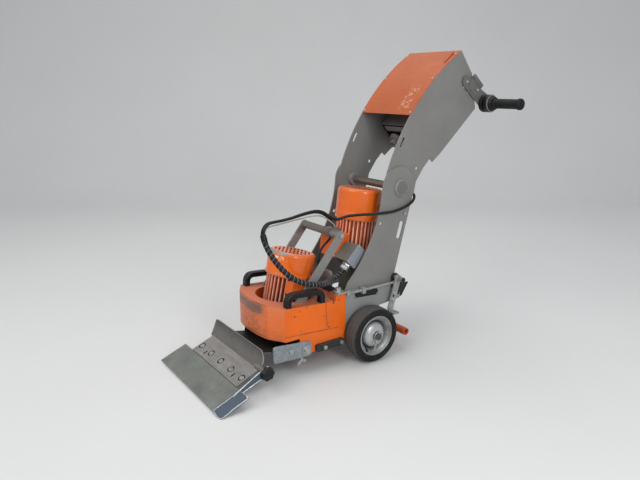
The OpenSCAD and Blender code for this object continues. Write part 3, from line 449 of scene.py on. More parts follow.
# Name, base, shade, dust, bare and mean colour, then dust, film, chips, roughness and wear
for row in (
    ("orange_worn", ORANGE, ORANGE_DARK, "#BC7C66", PRIMER, ORANGE, 0.55, 0.12, 0.70),
    ("orange_seam", "#8E4418", "#6E3414", "#B87450", "#D88A4C", "#8E4820", 0.5, 0.3, 0.69),
    ("orange_tube", "#C8501E", "#A43D14", "#B07A60", "#8C7A6C", "#C24E1E", 0.45, 0.2, 0.67),
    ("grey_satin", *GREYS, "#787673", *SATIN),
    # Chassis grey: lighter than grey_satin, as painted light on the chassis plates.
    ("grey_chassis_painted_light", "#908F8E", "#848382", "#979189", "#A8A59E", "#8B8987", *SATIN),
    # Arm grey: darker than grey_satin, as painted shade on the handlebar arms.
    ("grey_arm_painted_shade", "#6A6864", "#5E5C59", "#7A766F", "#A09C95", "#666461", 0.4, 0.2, 0.72, 0.45, 0.85),
    ("grey_cast", "#706E65", "#5E5C54", "#858075", "#9C9990", "#6C6A61", 0.45, 0.25, 0.70, 0.5),
    ("grey_lid", "#8C939A", "#7C838A", "#969690", "#A8A8A4", "#888E94", 0.35, 0.15, 0.72, 0.42),
    ("grey_moulded", "#76706D", "#65605D", "#8A837D", "#8A837D", "#6E6966", 0.5, 0.25, 0.78, 0.55, 0.4),
    ("grey_cap", "#6B6D66", "#62645E", "#83827B", "#B5B2AA", "#696B65", 0.3, 0.12, 0.75, 0.5, 0.9),
    ("grey_cap_rim", "#92928D", "#80807B", "#8E8B84", "#B5B2AA", "#8C8C87", 0.3, 0.12, 0.75, 0.4, 0.9),
    ("black_paint_worn", "#232324", "#19191A", "#57504A", "#6B6762", "#262627", 0.4, 0.25, 0.70, 0.45),
):
    Paint(*row).done()


def rear_cowl_paint():
    # Its top takes a dark brown dust, partly real dust and partly painted shade darkening the crown.
    f = Paint("orange_rear_cowl", "#E66A16", "#D45C12", "#A8674A", PRIMER, "#DC6820", 0.8, 0.08, 0.69, 0.26)
    f.gloss()
    f.done(strength=0.3)


def finned_paint(name, dust, axis, lean, depth, cover):
    """Motor paint with painted shade darkening the grooves between the fins, and pale dust on the fins."""
    f = Paint(name, "#E66C1E", "#C6541A", dust, "#D8C4AE", "#C0602A", 0.5, 0.3, 0.685)
    _, r, _ = f.motor(axis, lean)
    f.over(dust, f.patches(0.38, 0.56, (40, 40, 9), 5, 0.65), cover, f.fit(r, 0.0725, 0.0755))
    # Painted shade in the grooves between the fins, as strong as depth.
    f.over("#2E140C", f.fit(r, 0.0735, 0.0665, 0, depth))
    f.done()


def ballast_paint():
    """Dusty top and front, with a scraped rim, rubbed rows, thin scratches and dark spots."""
    f = Paint("orange_ballast", ORANGE, ORANGE_DARK, "#A87462", BARE, "#D06E36", 0.92, 0.05, 0.685, 0.36)
    f.over("#CC7C58", f.fit(f.facing(Y), -0.12, -0.5),
           f.patches(0.3, 0.6, 7, 7, 0.7, bend=0.4, to=(0.25, 0.95)), 0.66)
    rim = f.times(f.band(Z, 0.222, 0.256, 0.01), f.fit(f.place(Y), -0.3, -0.34),
                  f.fit(f.place(X), 0.085, 0.06))
    scraped = f.times(rim, f.patches(0.44, 0.52, (7, 7, 150), 5, 0.7), f.fit(f.facing(Z), 0.75, 0.35))
    f.over("#5C534A", scraped, 0.92)
    rows = f.fit(f.op("SINE", f.times(f.place(Z), 1150)), 0.3, 0.6)
    patch = f.times(f.band(Z, 0.158, 0.218, 0.004), f.band(X, -0.06, 0.045, 0.02),
                    f.fit(f.facing(Y), -0.6, -0.8), f.patches(0.45, 0.5, (30, 30, 70), 4, 0.7))
    f.over("#4C372E", patch, rows, 0.9)
    thin = f.times(f.patches(0.61, 0.64, (9, 9, 330), 3, 0.5), f.fit(f.facing(Y), -0.3, -0.6))
    f.over("#54382C", thin, f.fit(f.place(X), 0.11, 0.05, 0.2, 1), 0.75)
    f.over("#33241C", f.patches(0.675, 0.685, 52, 2, 0.5), f.fit(f.facing(X), 0.6, 0.8))
    low = f.times(f.band(Z, 0.13, 0.165, 0.012), f.patches(0.52, 0.6, (9, 9, 60), 5, 0.7))
    f.over("#8E5A3C", low, 0.55, f.fit(f.facing(X), 0.7, 0.4))
    f.cut(scraped)
    f.done(0.0006, 0.45)


def front_cowl_paint():
    """Paint rubbed off the crown's rim and chipped below it, towards the front."""
    f = Paint("orange_cowl", "#E66A14", "#D45C10", "#C98260", PRIMER, "#DE6A20", 0.5, 0.06, 0.715, 0.23)
    up, r, behind = f.motor(FRONT_AXIS, FRONT_LEAN)
    rim = f.times(f.fit(up, 0.2035, 0.206), f.fit(r, 0.0722, 0.074),
                  f.fit(f.op("DIVIDE", behind, r), -0.62, -0.74))
    f.over("#84827A", rim, f.patches(0.3, 0.42, 30, 5, 0.65), 0.95)
    flaked = f.times(f.between(up, 0.186, 0.191, 0.199, 0.201), f.band(X, 0.022, 0.06, 0.006),
                     f.fit(behind, -0.04, -0.05), f.patches(0.5, 0.52, 75, 4, 0.6))
    f.over("#E2D2BA", flaked)
    f.gloss()
    f.cut(flaked)
    f.done(strength=0.3)


def cover_paint():
    """Flat, dusty and brownish, with scuffs low down and a worn patch."""
    f = Paint("orange_cover", "#B25A32", "#A44E29", "#AE6C4C", "#D8804A", "#B4603C",
              0.35, 0.24, 0.735, 0.48, 0.9)
    f.over("#A04A22", f.patches(0.55, 0.63, (26, 26, 70), 6, 0.72), f.band(Z, 0.83, 0.91, 0.02), 0.35)
    f.over("#CFA48C", f.band(X, 0.055, 0.095, 0.012), f.band(Z, 0.88, 0.945, 0.012),
           f.patches(0.52, 0.58, (90, 30, 120), 5, 0.7, turn=(0, 30, 0)), 0.7)
    f.done(0.0003, 0.3)


def bow_paint():
    """Scuffed grey; painted shade darkens the cross tube between the bars, and the dark dust on its top is
    partly painted shade too.
    """
    f = Paint("grey_scuffed", "#8A8886", "#757371", "#5E564E", "#B2AFA8", "#84827F", 0.8, 0.2, 0.69, 0.4, 0.9)
    f.over("#463E36", f.band(X, -0.112, 0.036, 0.006), f.fit(f.place(Z), 0.42, 0.43), 0.5)
    f.done()


def wall_paint():
    """Grey, with painted shade turning the front wall nearly black."""
    f = Paint("grey_wall_painted_shade", *GREYS, "#6A6865", *SATIN)
    f.over("#242120", f.fit(f.place(Y), 0.02, 0, 0, 0.8))
    f.done()


rear_cowl_paint()
finned_paint("orange_front_fins", "#CDB0A4", FRONT_AXIS, FRONT_LEAN, 0.78, 0.85)
# The rear fins' dust is paler and fuller: real dust, lightened further as painted light against the near
# column plate's shadow.
finned_paint("orange_rear_fins", "#F0B8A0", REAR_AXIS, REAR_LEAN, 0.3, 1)
ballast_paint()
front_cowl_paint()
cover_paint()
bow_paint()
wall_paint()


def zinc(name, light, dark, dust, rough, spangle, metal):
    """Galvanised steel with spangles, crossed scratches, bright edges and dirt specks."""
    f = Finish(name, light, rough, metal)
    grain = f.cells(spangle)
    f.tone = f.mix(f.fit(grain, 0.1, 0.9), dark, light)
    f.over(dust, f.patches(0.4, 0.7, 7, 6, 0.65), 0.35)
    scar = f.op("MAXIMUM", f.patches(0.70, 0.73, (14, 260, 260), 2, 0.5, turn=(0, 0, 12)),
                f.patches(0.70, 0.73, (240, 10, 240), 2, 0.5, turn=(0, 0, -20)))
    f.over("#C6C6C2", scar, 0.5)
    f.over("#CFCFCB", f.edges(0.0012), 0.65)
    speck = f.patches(0.66, 0.72, 120, 4, 0.7)
    f.over("#4A4843", speck, 0.5)
    f.rough = f.op("ADD", f.fit(grain, 0, 1, rough - 0.06, rough + 0.1), f.times(speck, 0.2))
    f.height = f.op("SUBTRACT", f.times(f.noise(240, 3), 0.4), f.times(scar, 0.4))
    f.done(strength=0.35)


zinc("zinc_dull", "#A3A5A2", "#8E918E", "#8D877C", 0.42, 85, 0.55)
zinc("zinc_bluish", "#8F979D", "#7D868D", "#858683", 0.4, 85, 0.4)
zinc("zinc_bolt", "#B4B5B2", "#A0A29F", "#8D8A82", 0.34, 300, 0.7)


def carrier_steel():
    """Dull grey leg, darker flange, and painted shade turning the tongue under the motor nearly black."""
    f = Finish("carrier_steel", "#85827E", 0.46, 0.35)
    f.tone = f.mix(f.patches(0.34, 0.68, (14, 60, 60), 6, 0.68), "#7C7976", "#97938F")
    f.over("#6E6760", f.patches(0.5, 0.7, 26, 5, 0.7), 0.3)
    f.over("#5B5753", f.op("MAXIMUM", f.fit(f.facing(Z), 0.86, 0.6), f.fit(f.place(Y), -0.449, -0.445)), 0.7)
    f.over("#A9A59F", f.patches(0.62, 0.68, (300, 16, 16), 3, 0.5, turn=(0, 12, 0)), 0.25)
    f.over("#C9C5BF", f.edges(0.0016), 0.85)
    # Painted shade under the motor and ballast.
    f.over("#1E1C1B", f.fit(f.place(Y), -0.437, -0.418), 0.93)
    f.rough = f.uneven(40, 0.38, 0.56)
    f.height = f.noise(160, 4)
    f.done()


def guard_sheet():
    """Dull sheet, with painted bluish reflection and shade on its bent near end, and painted highlights along
    its edges.
    """
    f = Finish("guard_sheet", "#7B7D78", 0.44, 0.35)
    f.tone = f.mix(f.patches(0.36, 0.66, 8, 6, 0.66), "#6C6F6A", "#83867F")
    f.over("#5F605B", f.patches(0.55, 0.7, (12, 90, 90), 4, 0.6), 0.3)
    # Painted reflection and shade: the bent near end goes dark blue.
    f.over("#4C5864", f.fit(f.place(X), 0.19, 0.194))
    f.over("#A9ABA6", f.patches(0.72, 0.75, (14, 260, 260), 2, 0.5, turn=(0, 0, 12)), 0.3)
    # Painted highlights along the edges.
    f.over("#BFC2BE", f.edges(0.0014), 0.8)
    f.rough = f.uneven(30, 0.36, 0.54)
    f.height = f.noise(200, 4)
    f.done()


def bare_metal(name, light, dark, rough, stretch, metal=0.9):
    """Brushed metal with grime and bright edges."""
    f = Finish(name, light, rough, metal)
    f.height = f.noise(stretch, 3, 0.6)
    f.tone = f.mix(f.fit(f.height, 0.35, 0.65), dark, light)
    f.over("#6A625A", f.patches(0.5, 0.75, 14, 6, 0.7), 0.5)
    f.over("#E0E0DE", f.edges(0.001), 0.5)
    f.rough = f.uneven(30, rough - 0.08, rough + 0.12)
    f.done(0.0001, 0.25)


carrier_steel()
guard_sheet()
bare_metal("steel_bright", "#C2C2C0", "#9A9A98", 0.3, (30, 400, 400))
bare_metal("steel_brown", "#8C7E74", "#6C6058", 0.34, (30, 400, 400), 0.6)
# Pale bluish steel on the guard's folded edges, as painted highlight.
bare_metal("steel_edge_painted_highlight", "#D2D6DA", "#AEB4BA", 0.3, (90, 90, 90), 0.7)
bare_metal("steel_blade", "#A8A8A4", "#7F7E79", 0.36, (40, 600, 40))
bare_metal("steel_oiled", "#5C5B50", "#3E3D36", 0.45, (200, 200, 200), 0.6)
bare_metal("bronze_cast", "#B08A48", "#8E6A30", 0.35, (300, 60, 60))


def rim_alloy():
    """Cast alloy with turning marks round the axle and painted shade darkening the groove in its dish."""
    f = Finish("rim_alloy", "#A8A8A6", 0.38, 0.6)
    r = f.from_axle()
    f.tone = f.mix(f.patches(0.35, 0.68, 22, 6, 0.7), "#7E7D7A", "#A8A8A7")
    f.over("#6A665E", f.patches(0.58, 0.7, 40, 6, 0.75), 0.6)
    f.over("#D8D8D6", f.edges(0.0012), 0.5)
    f.over("#C4C5C8", f.fit(r, 0.046, 0.043, 0, 0.6))
    # Painted shade in the groove.
    f.over("#161618", f.between(r, 0.0455, 0.047, 0.052, 0.0535), 0.92)
    f.rough = f.uneven(50, 0.3, 0.5)
    marks = f.times(f.op("SINE", f.times(r, 5200)), 0.12)
    f.height = f.op("ADD", marks, f.times(f.noise(300, 3), 0.4))
    f.done()


def tyre_rubber():
    """Dusty tread face, darker sidewalls."""
    f = Finish("tyre_rubber", "#3A3935", 0.78, shine=0.2)
    f.tone = f.mix(f.patches(0.35, 0.7, 18, 6, 0.7), "#161618", "#242425")
    tread = f.mix(f.patches(0.35, 0.65, (160, 9, 9), 5, 0.7), "#434140", "#54514E")
    f.over(tread, f.fit(f.from_axle(), 0.0945, 0.0985))
    f.over("#6A655D", f.patches(0.56, 0.7, 55, 6, 0.75), 0.35)
    f.rough = f.uneven(20, 0.68, 0.88)
    f.height = f.op("ADD", f.times(f.noise(700, 2), 0.5), f.times(f.noise(90, 5), 0.5))
    f.done(0.0004, 0.4)


def moulded(name, base, dark, dust, rough, dusty, grain=420, shine=0.28):
    """Plastic or rubber with dust on its tops and edges and faint marks."""
    f = Finish(name, base, rough, shine=shine)
    f.tone = f.mix(f.patches(0.35, 0.65, 16, 5, 0.6), dark, base)
    top = f.times(f.fit(f.facing(Z), 0.1, 0.95), f.patches(0.35, 0.68, 30, 6, 0.7))
    f.over(dust, top, dusty)
    f.over(dust, f.edges(0.0009), 0.35)
    f.over(dust, f.patches(0.66, 0.72, (60, 60, 420), 3, 0.6), 0.3)
    f.rough = f.op("ADD", f.uneven(45, rough - 0.08, rough + 0.1), f.times(top, 0.2))
    f.height = f.noise(grain, 3, 0.6)
    f.done()


def fitting_black():
    """Black fittings; the strap round the bow's tube is grey."""
    f = Finish("fitting_black", "#1C1C1F", 0.42, shine=0.28)
    f.tone = f.mix(f.patches(0.35, 0.65, 16, 5, 0.6), "#111113", "#1C1C1F")
    f.over("#4C4844", f.edges(0.0009), 0.35)
    strap = f.mix(f.patches(0.35, 0.68, 20, 5, 0.65), "#5A544E", "#6E6A66")
    f.over(strap, f.band(Y, -0.125, -0.03, 0.004), f.fit(f.place(Z), 0.41, 0.42))
    f.rough = f.uneven(45, 0.36, 0.52)
    f.height = f.noise(420, 3, 0.6)
    f.done()


def bracket_black():
    """Black brackets; the rod's guide in front of them is bare."""
    f = Finish("bracket_black", "#262627", 0.45, shine=0.25)
    f.tone = f.mix(f.patches(0.35, 0.68, 18, 5, 0.65), "#1A1A1B", "#2A2A2B")
    guide = f.mix(f.patches(0.35, 0.68, 30, 5, 0.65), "#7C7F7D", "#9A9D9B")
    f.over(guide, f.fit(f.place(Y), 0.05, 0.04))
    f.over("#77736D", f.edges(0.0012), 0.5)
    f.rough = f.uneven(40, 0.38, 0.54)
    f.height = f.noise(300, 3)
    f.done()


rim_alloy()
tyre_rubber()
fitting_black()
bracket_black()
# Name, base, dark and dust colour, then roughness, dust, grain and shine
for row in (
    ("plastic_black", "#1C1C1F", "#111113", "#4C4844", 0.42, 0.3),
    ("handle_black", "#1B1C1F", "#101012", "#56524D", 0.34, 0.3),
    ("rubber_grip", "#161618", "#0E0E0F", "#3E3B39", 0.6, 0.25, 900),
    ("cable_sheath", "#151517", "#0D0D0F", "#48443F", 0.42, 0.25, 800),
    ("spiral_wrap", "#17181B", "#0D0D0F", "#56524D", 0.32, 0.25, 600),
    ("cable_pale", "#B3AD9F", "#938D80", "#7C766B", 0.5, 0.4, 800),
    ("spiral_edge", "#A2A4A8", "#7C7E82", "#8A8580", 0.3, 0.3, 600),
    ("button_red", "#B82018", "#961610", "#B0685C", 0.3, 0.25),
    ("button_green", "#2E7A3E", "#20602E", "#7A8C74", 0.32, 0.25),
    # Near-black matte: the switch box's black surround, and painted shade in the clamp wells, the leg's
    # slits, the pedal's hole and on the carrier guides under the ballast.
    ("black_and_painted_shade", "#0A0A0B", "#060607", "#1E1C1A", 0.6, 0.12, 420, 0.06),
):
    moulded(*row)

# Materials and the CAD nodes that wear them
WORN_BY = {
    "grey_chassis_painted_light": "chassis_plates",
    "grey_wall_painted_shade": "cross_walls",
    "grey_satin": "column_plates column_braces pivot_collars console_plates control_panel",
    "grey_arm_painted_shade": "handlebar_arms",
    "grey_scuffed": "lift_bow",
    "grey_cast": "gearbox_housing terminal_box",
    "grey_lid": "terminal_lid",
    "grey_moulded": "switch_box",
    "orange_worn": "deck_frame motor_pedestal front_terminal_box",
    "orange_rear_cowl": "rear_motor_cowl",
    "orange_front_fins": "front_motor_body",
    "orange_rear_fins": "rear_motor_body",
    "orange_tube": "tilt_bar",
    "orange_ballast": "ballast_block",
    "orange_cowl": "front_motor_cowl",
    "orange_cover": "console_cover",
    "zinc_dull": "clamp_bolts pedal_lever latch_rod",
    "zinc_bluish": "side_plate",
    "carrier_steel": "blade_carrier",
    "guard_sheet": "blade_guard",
    "zinc_bolt": "frame_bolts",
    "steel_brown": "pivot_shaft",
    "steel_bright": "axle_bearings lynch_pins rear_rotor front_rotor eccentric_bearing",
    "steel_oiled": "axle",
    "steel_blade": "blade",
    "bronze_cast": "worm_wheel",
    "plastic_black": "rear_fan front_fan power_inlet drive_switch",
    "fitting_black": "cable_fittings",
    "black_paint_worn": "link_bars",
    "bracket_black": "side_brackets",
    # Carrier guides near black, as painted shade under the ballast.
    "black_and_painted_shade": "carrier_guides",
    "button_red": "stop_button",
    "button_green": "start_button",
}
for look, nodes in WORN_BY.items():
    for node in nodes.split():
        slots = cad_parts[node].data.materials
        if not slots:
            slots.append(LOOK[look])
        for i in range(len(slots)):
            slots[i] = LOOK[look]


# Cords, along the routes of the CAD solids

WRAP = [
    (96, -59, 324), (96.5, -75, 311.6), (100, -94, 303.8), (106.5, -114, 300.5), (117, -137, 299.5),
    (128, -160, 301), (137.5, -187, 305.5), (144, -219, 314), (146, -254, 325.5), (142, -288, 342),
    (133, -316, 366), (120, -339, 395), (106, -357, 428), (93, -368, 461), (84, -373, 494),
]
MOTOR = [
    (82.3, -372.3, 480.6), (78.9, -373.5, 494.5), (78.5, -371, 507), (78, -363.8, 517.8), (77, -353, 525),
    (76, -340.5, 527.5), (75, -320, 528), (73, -290, 528), (71, -258, 529), (68, -225, 533),
    (65, -190, 536), (61, -158, 536), (57, -130, 530), (52, -106, 518), (48, -86, 504), (45, -71, 488),
    (43, -63, 471), (42, -62, 453), (40, -68, 436), (37, -83, 419), (36, -104, 401), (40, -122, 380),
    (52, -134, 354), (68, -146, 330), (82, -162, 311), (90, -184, 299), (91, -204, 294),
]
LIGHT = [
    (87.5, -365.5, 480.6), (84, -366.5, 494), (83.6, -364.9, 502.2), (83, -360.2, 509.2),
    (82, -353.2, 513.9), (81, -345, 515.5), (80, -332, 516.5), (78, -310, 518), (76, -280, 520),
    (74, -240, 523), (72, -200, 526), (69, -160, 526), (66, -132, 521), (63, -110, 510), (60, -90, 497),
    (58, -74, 483), (57, -65, 468), (56, -61, 454),
]
CONSOLE = [
    (92.6, -372.3, 480.6), (89, -373.5, 495), (88, -371, 508.6), (87.6, -363.8, 519.4), (87, -353, 526.6),
    (86, -340.5, 529.2), (85, -320, 530), (83, -290, 531), (81, -258, 534), (79, -225, 539),
    (77, -190, 543), (75, -158, 543), (73, -132, 536), (70, -110, 523), (67.5, -90, 509.5), (66, -74, 502),
    (66.3, -60, 500.5), (68, -46, 503), (72.5, -35, 506.5), (80.5, -24, 510.5), (92, -13, 513),
    (106, -1.5, 515.5), (120, 9.5, 518), (132.5, 19.5, 519.5), (141.5, 29, 520.5), (147.3, 41, 521),
    (149.5, 56, 521), (150, 82, 520), (149.5, 109, 519.5), (149.5, 134, 521), (149.5, 157, 525),
    (149.5, 180, 530.5), (149.3, 199, 537.5), (149, 214, 546), (146.3, 224.2, 555), (138.6, 232.8, 562.6),
    (127, 238.6, 567.6), (113.5, 240.6, 569.4), (100, 238.6, 567.6), (88.4, 232.8, 562.6),
    (80.7, 224.2, 555), (78, 214, 546), (78, 205, 536.5), (78, 198, 527), (78, 193, 518),
]
WRAP_D, WRAP_PITCH, WRAP_STEPS, WRAP_SIDES = 19, 15.5, 24, 20
GROOVE_DEPTH, GROOVE_WIDTH = 1.9, 0.08
SLEEVE_STEPS = 22


def wound(i, run):
    """Section of a wrapped band with rounded edges and a narrow groove between its turns."""
    ring = []
    for j in range(WRAP_SIDES):
        lap = (run / WRAP_PITCH - j / WRAP_SIDES) % 1.0
        dip = GROOVE_DEPTH * math.exp(-((lap - 0.5) / GROOVE_WIDTH) ** 2)
        ring.append(polar(WRAP_D / 2 - dip, 360 * j / WRAP_SIDES))
    return ring


def cord(name, points, diameter, look, slot, node, steps=8,
         section=None):
    path = spline(points, steps)
    section = section or (lambda i, run: ngon(diameter / 2, 14))
    ob = Shape().sweep(path, section).make(name, look, slot, replaces=node)
    length = carried(path)[-1][-1]


wrap_path = spline(WRAP, WRAP_STEPS)
winding = Shape().tube(helix(wrap_path, 9.3, WRAP_PITCH, 0.37), 0.85, 6)
winding = winding.make("wrap_edge_line", "spiral_edge", "cable_black")
half = SLEEVE_STEPS // 2
sleeve = Shape().sweep(wrap_path[-SLEEVE_STEPS:], lambda i, run: ngon(10.6 - 1.2 * abs(i - half) / half, 18))
sleeve = sleeve.make("wrap_end_sleeve", "cable_sheath", "cable_black")
cord("spiral_wrapped_cable", WRAP, WRAP_D, "spiral_wrap", "cable_black", "wrapped_cable",
     WRAP_STEPS, wound)
cord("motor_lead", MOTOR, 8, "cable_sheath", "cable_black", "motor_cable")
cord("pale_lead", LIGHT, 5, "cable_pale", "cable_light", "light_cable")
cord("console_lead", CONSOLE, 10, "cable_sheath", "cable_black", "console_cable")


# Wheels: ribbed tyres, dished rims and valves

tyre_half = [
    (73.1, 29.5), (75.5, 31.4), (79, 32.3), (83.2, 32.4), (83.8, 31.7), (84.6, 31.7), (85.2, 32.3),
    (89, 32), (91.6, 31.2), (92.4, 30.2), (93.4, 30.1), (95.6, 28), (97.6, 24.6), (99, 19.5),
    (99.7, 13.5), (99.95, 9.4), (99.5, 9), (99.5, 8.2), (99.95, 7.8),
]
tyre = [(r, WHEEL_X + w) for r, w in tyre_half] + [(WHEEL_R, WHEEL_X)] \
    + [(r, WHEEL_X - w) for r, w in reversed(tyre_half)]
turned_pair(tyre, WHEEL, 96).make("tyre_pair", "tyre_rubber", "tyre", "drive_axle", "tyres", 60)
rim = [
    (12.6, 159), (12.6, 216.6), (13.4, 217), (19, 217), (20.4, 216.6), (21.2, 215.4), (27, 214.2),
    (33, 212.2), (38.5, 209.2), (42.6, 205.4), (45.2, 200.8), (46.4, 196.6), (48, 195.4), (51.5, 195.4),
    (53, 196.4), (54.2, 199.6), (56, 203.6), (59, 207.4), (62.6, 210.6), (65, 212.6), (66.2, 215),
    (67.4, 216.6), (69.4, 217.2), (71.6, 217), (72.9, 215.6), (73, 213), (73, 159), (63, 159), (60, 175),
    (30, 175), (30, 159),
]
turned_pair(rim, WHEEL, 96).make("rim_pair", "rim_alloy", "rim_metal", "drive_axle", "rims", 40)
valve = [(4.6, 0), (4.9, 2), (4.4, 5), (3.4, 8), (3.3, 13), (3.8, 13.4), (3.8, 19), (3.2, 20), (1.2, 20.2)]
valves = turned_pair(valve, along_x(199, -39.5, 60) @ turned("X", 24), 14, closed=False)
valves.make("tyre_valves", "plastic_black", "black_plastic", "drive_axle")


# Ballast handles: bows of a grooved section

HANDLE_X, HANDLE_FRONT, HANDLE_REAR, HANDLE_BEND = 138, 8.5, 143.5, 21.5


def handle(s, m):
    base = m @ tilted((0, -328, 252.8), -4)
    line = [(HANDLE_FRONT, 0), (HANDLE_FRONT, 14), *arc(30, 18, HANDLE_BEND, 180, 90, 8),
            *arc(122, 18, HANDLE_BEND, 90, 0, 8), (HANDLE_REAR, 14), (HANDLE_REAR, 0)]
    grooved = [(-4, -13.4), (-3, -10.6), (3, -10.6), (4, -13.4), *arc(5.4, -9.4, 4, -90, 0, 3),
               *arc(5.4, 9.4, 4, 0, 90, 3), (4, 13.4), (3, 10.6), (-3, 10.6), (-4, 13.4),
               *arc(-5.4, 9.4, 4, 90, 180, 3), *arc(-5.4, -9.4, 4, 180, 270, 3)]
    sideways = (base.to_3x3() @ Vector((1, 0, 0))).normalized()
    s.sweep([base @ Vector((HANDLE_X, y, z)) for y, z in line], lambda i, run: grooved, up=sideways)


both(handle).make("bow_handles", "handle_black", "black_plastic", replaces="ballast_handles", sharp=50)


# Guard knob: lobed head on its stud

def lobes(r, a):
    return r * (1 + 0.075 * math.cos(7 * a)) if r > 14 else r


knob = Shape().lathe([(5, 148), (5, 199)], KNOB, 20)
knob.lathe([(13.5, 198.4), (16.5, 198.8), (20.4, 200.6), (21.9, 203), (22.2, 206), (22.2, 210), (21.6, 213.4),
            (19.6, 216), (15.5, 217.1), (12.6, 217), (11.6, 216), (8, 215.8), (7.4, 216.6), (2, 216.9)],
           KNOB, 84, lobes)
knob.make("lobed_knob", "plastic_black", "black_plastic", "guard_knob", "guard_knob", 45)


# Grips: ribbed rubber sleeves, turned hubs, discs and rings

RIBS, RIB_START, RIB_PITCH = 14, 62, 6.6

rubber = [(12, 54), (17, 54), (20.4, 55), (20.8, 58), (18.6, 60)]
for k in range(RIBS):
    z = RIB_START + RIB_PITCH * k
    rubber += [(17.4, z), (18, z + 1.2), (18, z + 4.2), (17.4, z + 5.4)]
rubber += [(18.4, 156), (20.6, 160), (20.9, 165), (20.2, 169.6), (17.2, 172.6), (9, 173.8), (2, 173.9)]
grips = turned_pair(rubber, GRIP, 40, closed=False)
grips.make("grip_sleeves", "rubber_grip", "grip_rubber", "handlebar", "grips", 50)
hub = [(22, 0.2), (22, 21.4), (30.5, 21.8), (32.4, 22.6), (33, 24), (33, 36), (32.4, 37.4), (30.5, 38.2),
       (27, 38.6), (26, 40), (25.4, 42), (25, 50), (23.6, 52), (18, 52.6), (8, 52.6)]
hubs = turned_pair(hub, GRIP, 48, closed=False)
hubs.make("grip_hubs", "plastic_black", "black_plastic", "handlebar", sharp=40)
disc = [(22.2, 0.1), (30.8, 0.1), (32.4, 0.7), (33, 2), (33, 13.6), (32.4, 15), (30.8, 15.6), (22.2, 15.6)]
turned_pair(disc, GRIP, 48).make("hub_discs", "plastic_black", "black_plastic", "handlebar", sharp=40)
ring = [(28, 38.3), (31.4, 38.1), (31.8, 38.9), (31.2, 39.8), (28, 40)]
turned_pair(ring, GRIP, 48).make("hub_rings", "grey_satin", "grey_paint", "handlebar", sharp=40)


# Clamp plates and blocks on the outside of the arms, and their screws

ARM_FACE, CLAMP_FACE, CONSOLE_FACE = 142.05, 144.4, 134.05


def arm_clamp(s, m):
    plate = [(497, 938), (523.4, 913.6), (561, 899), (592, 921), (552, 941), (517.7, 970), (506, 980),
             (488, 952)]
    s.prism(plate, ARM_FACE, CLAMP_FACE, m @ along_x(0, 0, 0), 0.6, 1)
    block = [(517.7, 970), (553, 941), (566, 953), (517, 994), (507, 985)]
    s.prism(block, 137.4, 147, m @ along_x(0, 0, 0), 1.2)


def arm_screws(s, m):
    for place in ((ARM_FACE, 478, 966), (CLAMP_FACE, 536, 936)):
        s.screw(m @ along_x(*place), 5, 3)


def plate_screws(s, m):
    for y, z in ((470, 945), (489, 941), (491, 926)):
        s.lathe([(3.6, 0), (3.6, 1.6), (2.8, 2.4), (0.4, 2.6)], m @ along_x(CONSOLE_FACE, y, z), 14)


both(arm_clamp).make("arm_clamps", "grey_arm_painted_shade", "grey_paint", "handlebar")
both(arm_screws).make("arm_screws", "zinc_bolt", "galvanised", "handlebar")
both(plate_screws).make("plate_screws", "zinc_bolt", "galvanised", "console")


# Pivot caps: flat discs with a fine turned line, in chamfered rims

cap = [(29.4, 140.1), (30, 141), (30, 144.8), (29.6, 145.4), (27.4, 147.5), (26.6, 147.8), (22.6, 147.8),
       (22.2, 147.3), (21.8, 147.8), (2, 147.8)]
caps = turned_pair(cap, PIVOT, 56, closed=False)
caps.make("flat_caps", "grey_cap", "grey_paint", replaces="pivot_caps", sharp=30)
cap_rim = [(27.4, 140.1), (30.4, 140.1), (30.6, 141), (30.6, 145.8), (30, 147), (28.6, 148.1), (27.4, 148.1)]
turned_pair(cap_rim, PIVOT, 56).make("cap_rims", "grey_cap_rim", "grey_paint", sharp=30)


# Console cover: screws along its sides and a bent tab

COVER_Y, COVER_Z, COVER_R = 858, 388, 802
COVER_END, COVER_MIDDLE, COVER_START = 143.8, 132.74, 122.6


def on_cover(x, a, lift=0):
    """A place on the cover, local Z out of it and local Y up its slope."""
    y, z = polar(COVER_R + lift, a, COVER_Y, COVER_Z)
    c, s = polar(1, a)
    return Matrix(((1, 0, 0, x), (0, s, c, y), (0, -c, s, z), (0, 0, 0, 1)))


screws = Shape()
for x in (-124, 124):
    for a in (COVER_END, COVER_MIDDLE, COVER_START):
        screws.screw(on_cover(x, a, 0.1))
screws.make("cover_pan_screws", "zinc_bolt", "galvanised", "console", "cover_screws")

TAB_X = 70
ramp = [(1, -2), (48, -58), (44, 4)]
foot = [on_cover(TAB_X, COVER_START, 0.05) @ Vector((*p, 0)) for p in ramp]
top = [on_cover(TAB_X, COVER_START) @ Vector((*p, z)) for p, z in zip(inset(ramp, -0.8), (2.5, 0.8, 7.5))]
Shape().rings([foot, top]).make("cover_tab", "orange_cover", "orange_paint", "console", sharp=20)


# Switch box: dark surround and a cable gland on its face

BOX_Y, BOX_Z = 365.5, 715.9
BOX_FORWARD, BOX_UP = 0.6646, 0.7472


def on_box(x, u, out=0):
    """A place on the box's front face: u up the face, local Z out of it."""
    y, z = BOX_Y - BOX_FORWARD * u - BOX_UP * out, BOX_Z + BOX_UP * u - BOX_FORWARD * out
    return Matrix(((-1, 0, 0, x), (0, -BOX_FORWARD, -BOX_UP, y), (0, BOX_UP, -BOX_FORWARD, z), (0, 0, 0, 1)))


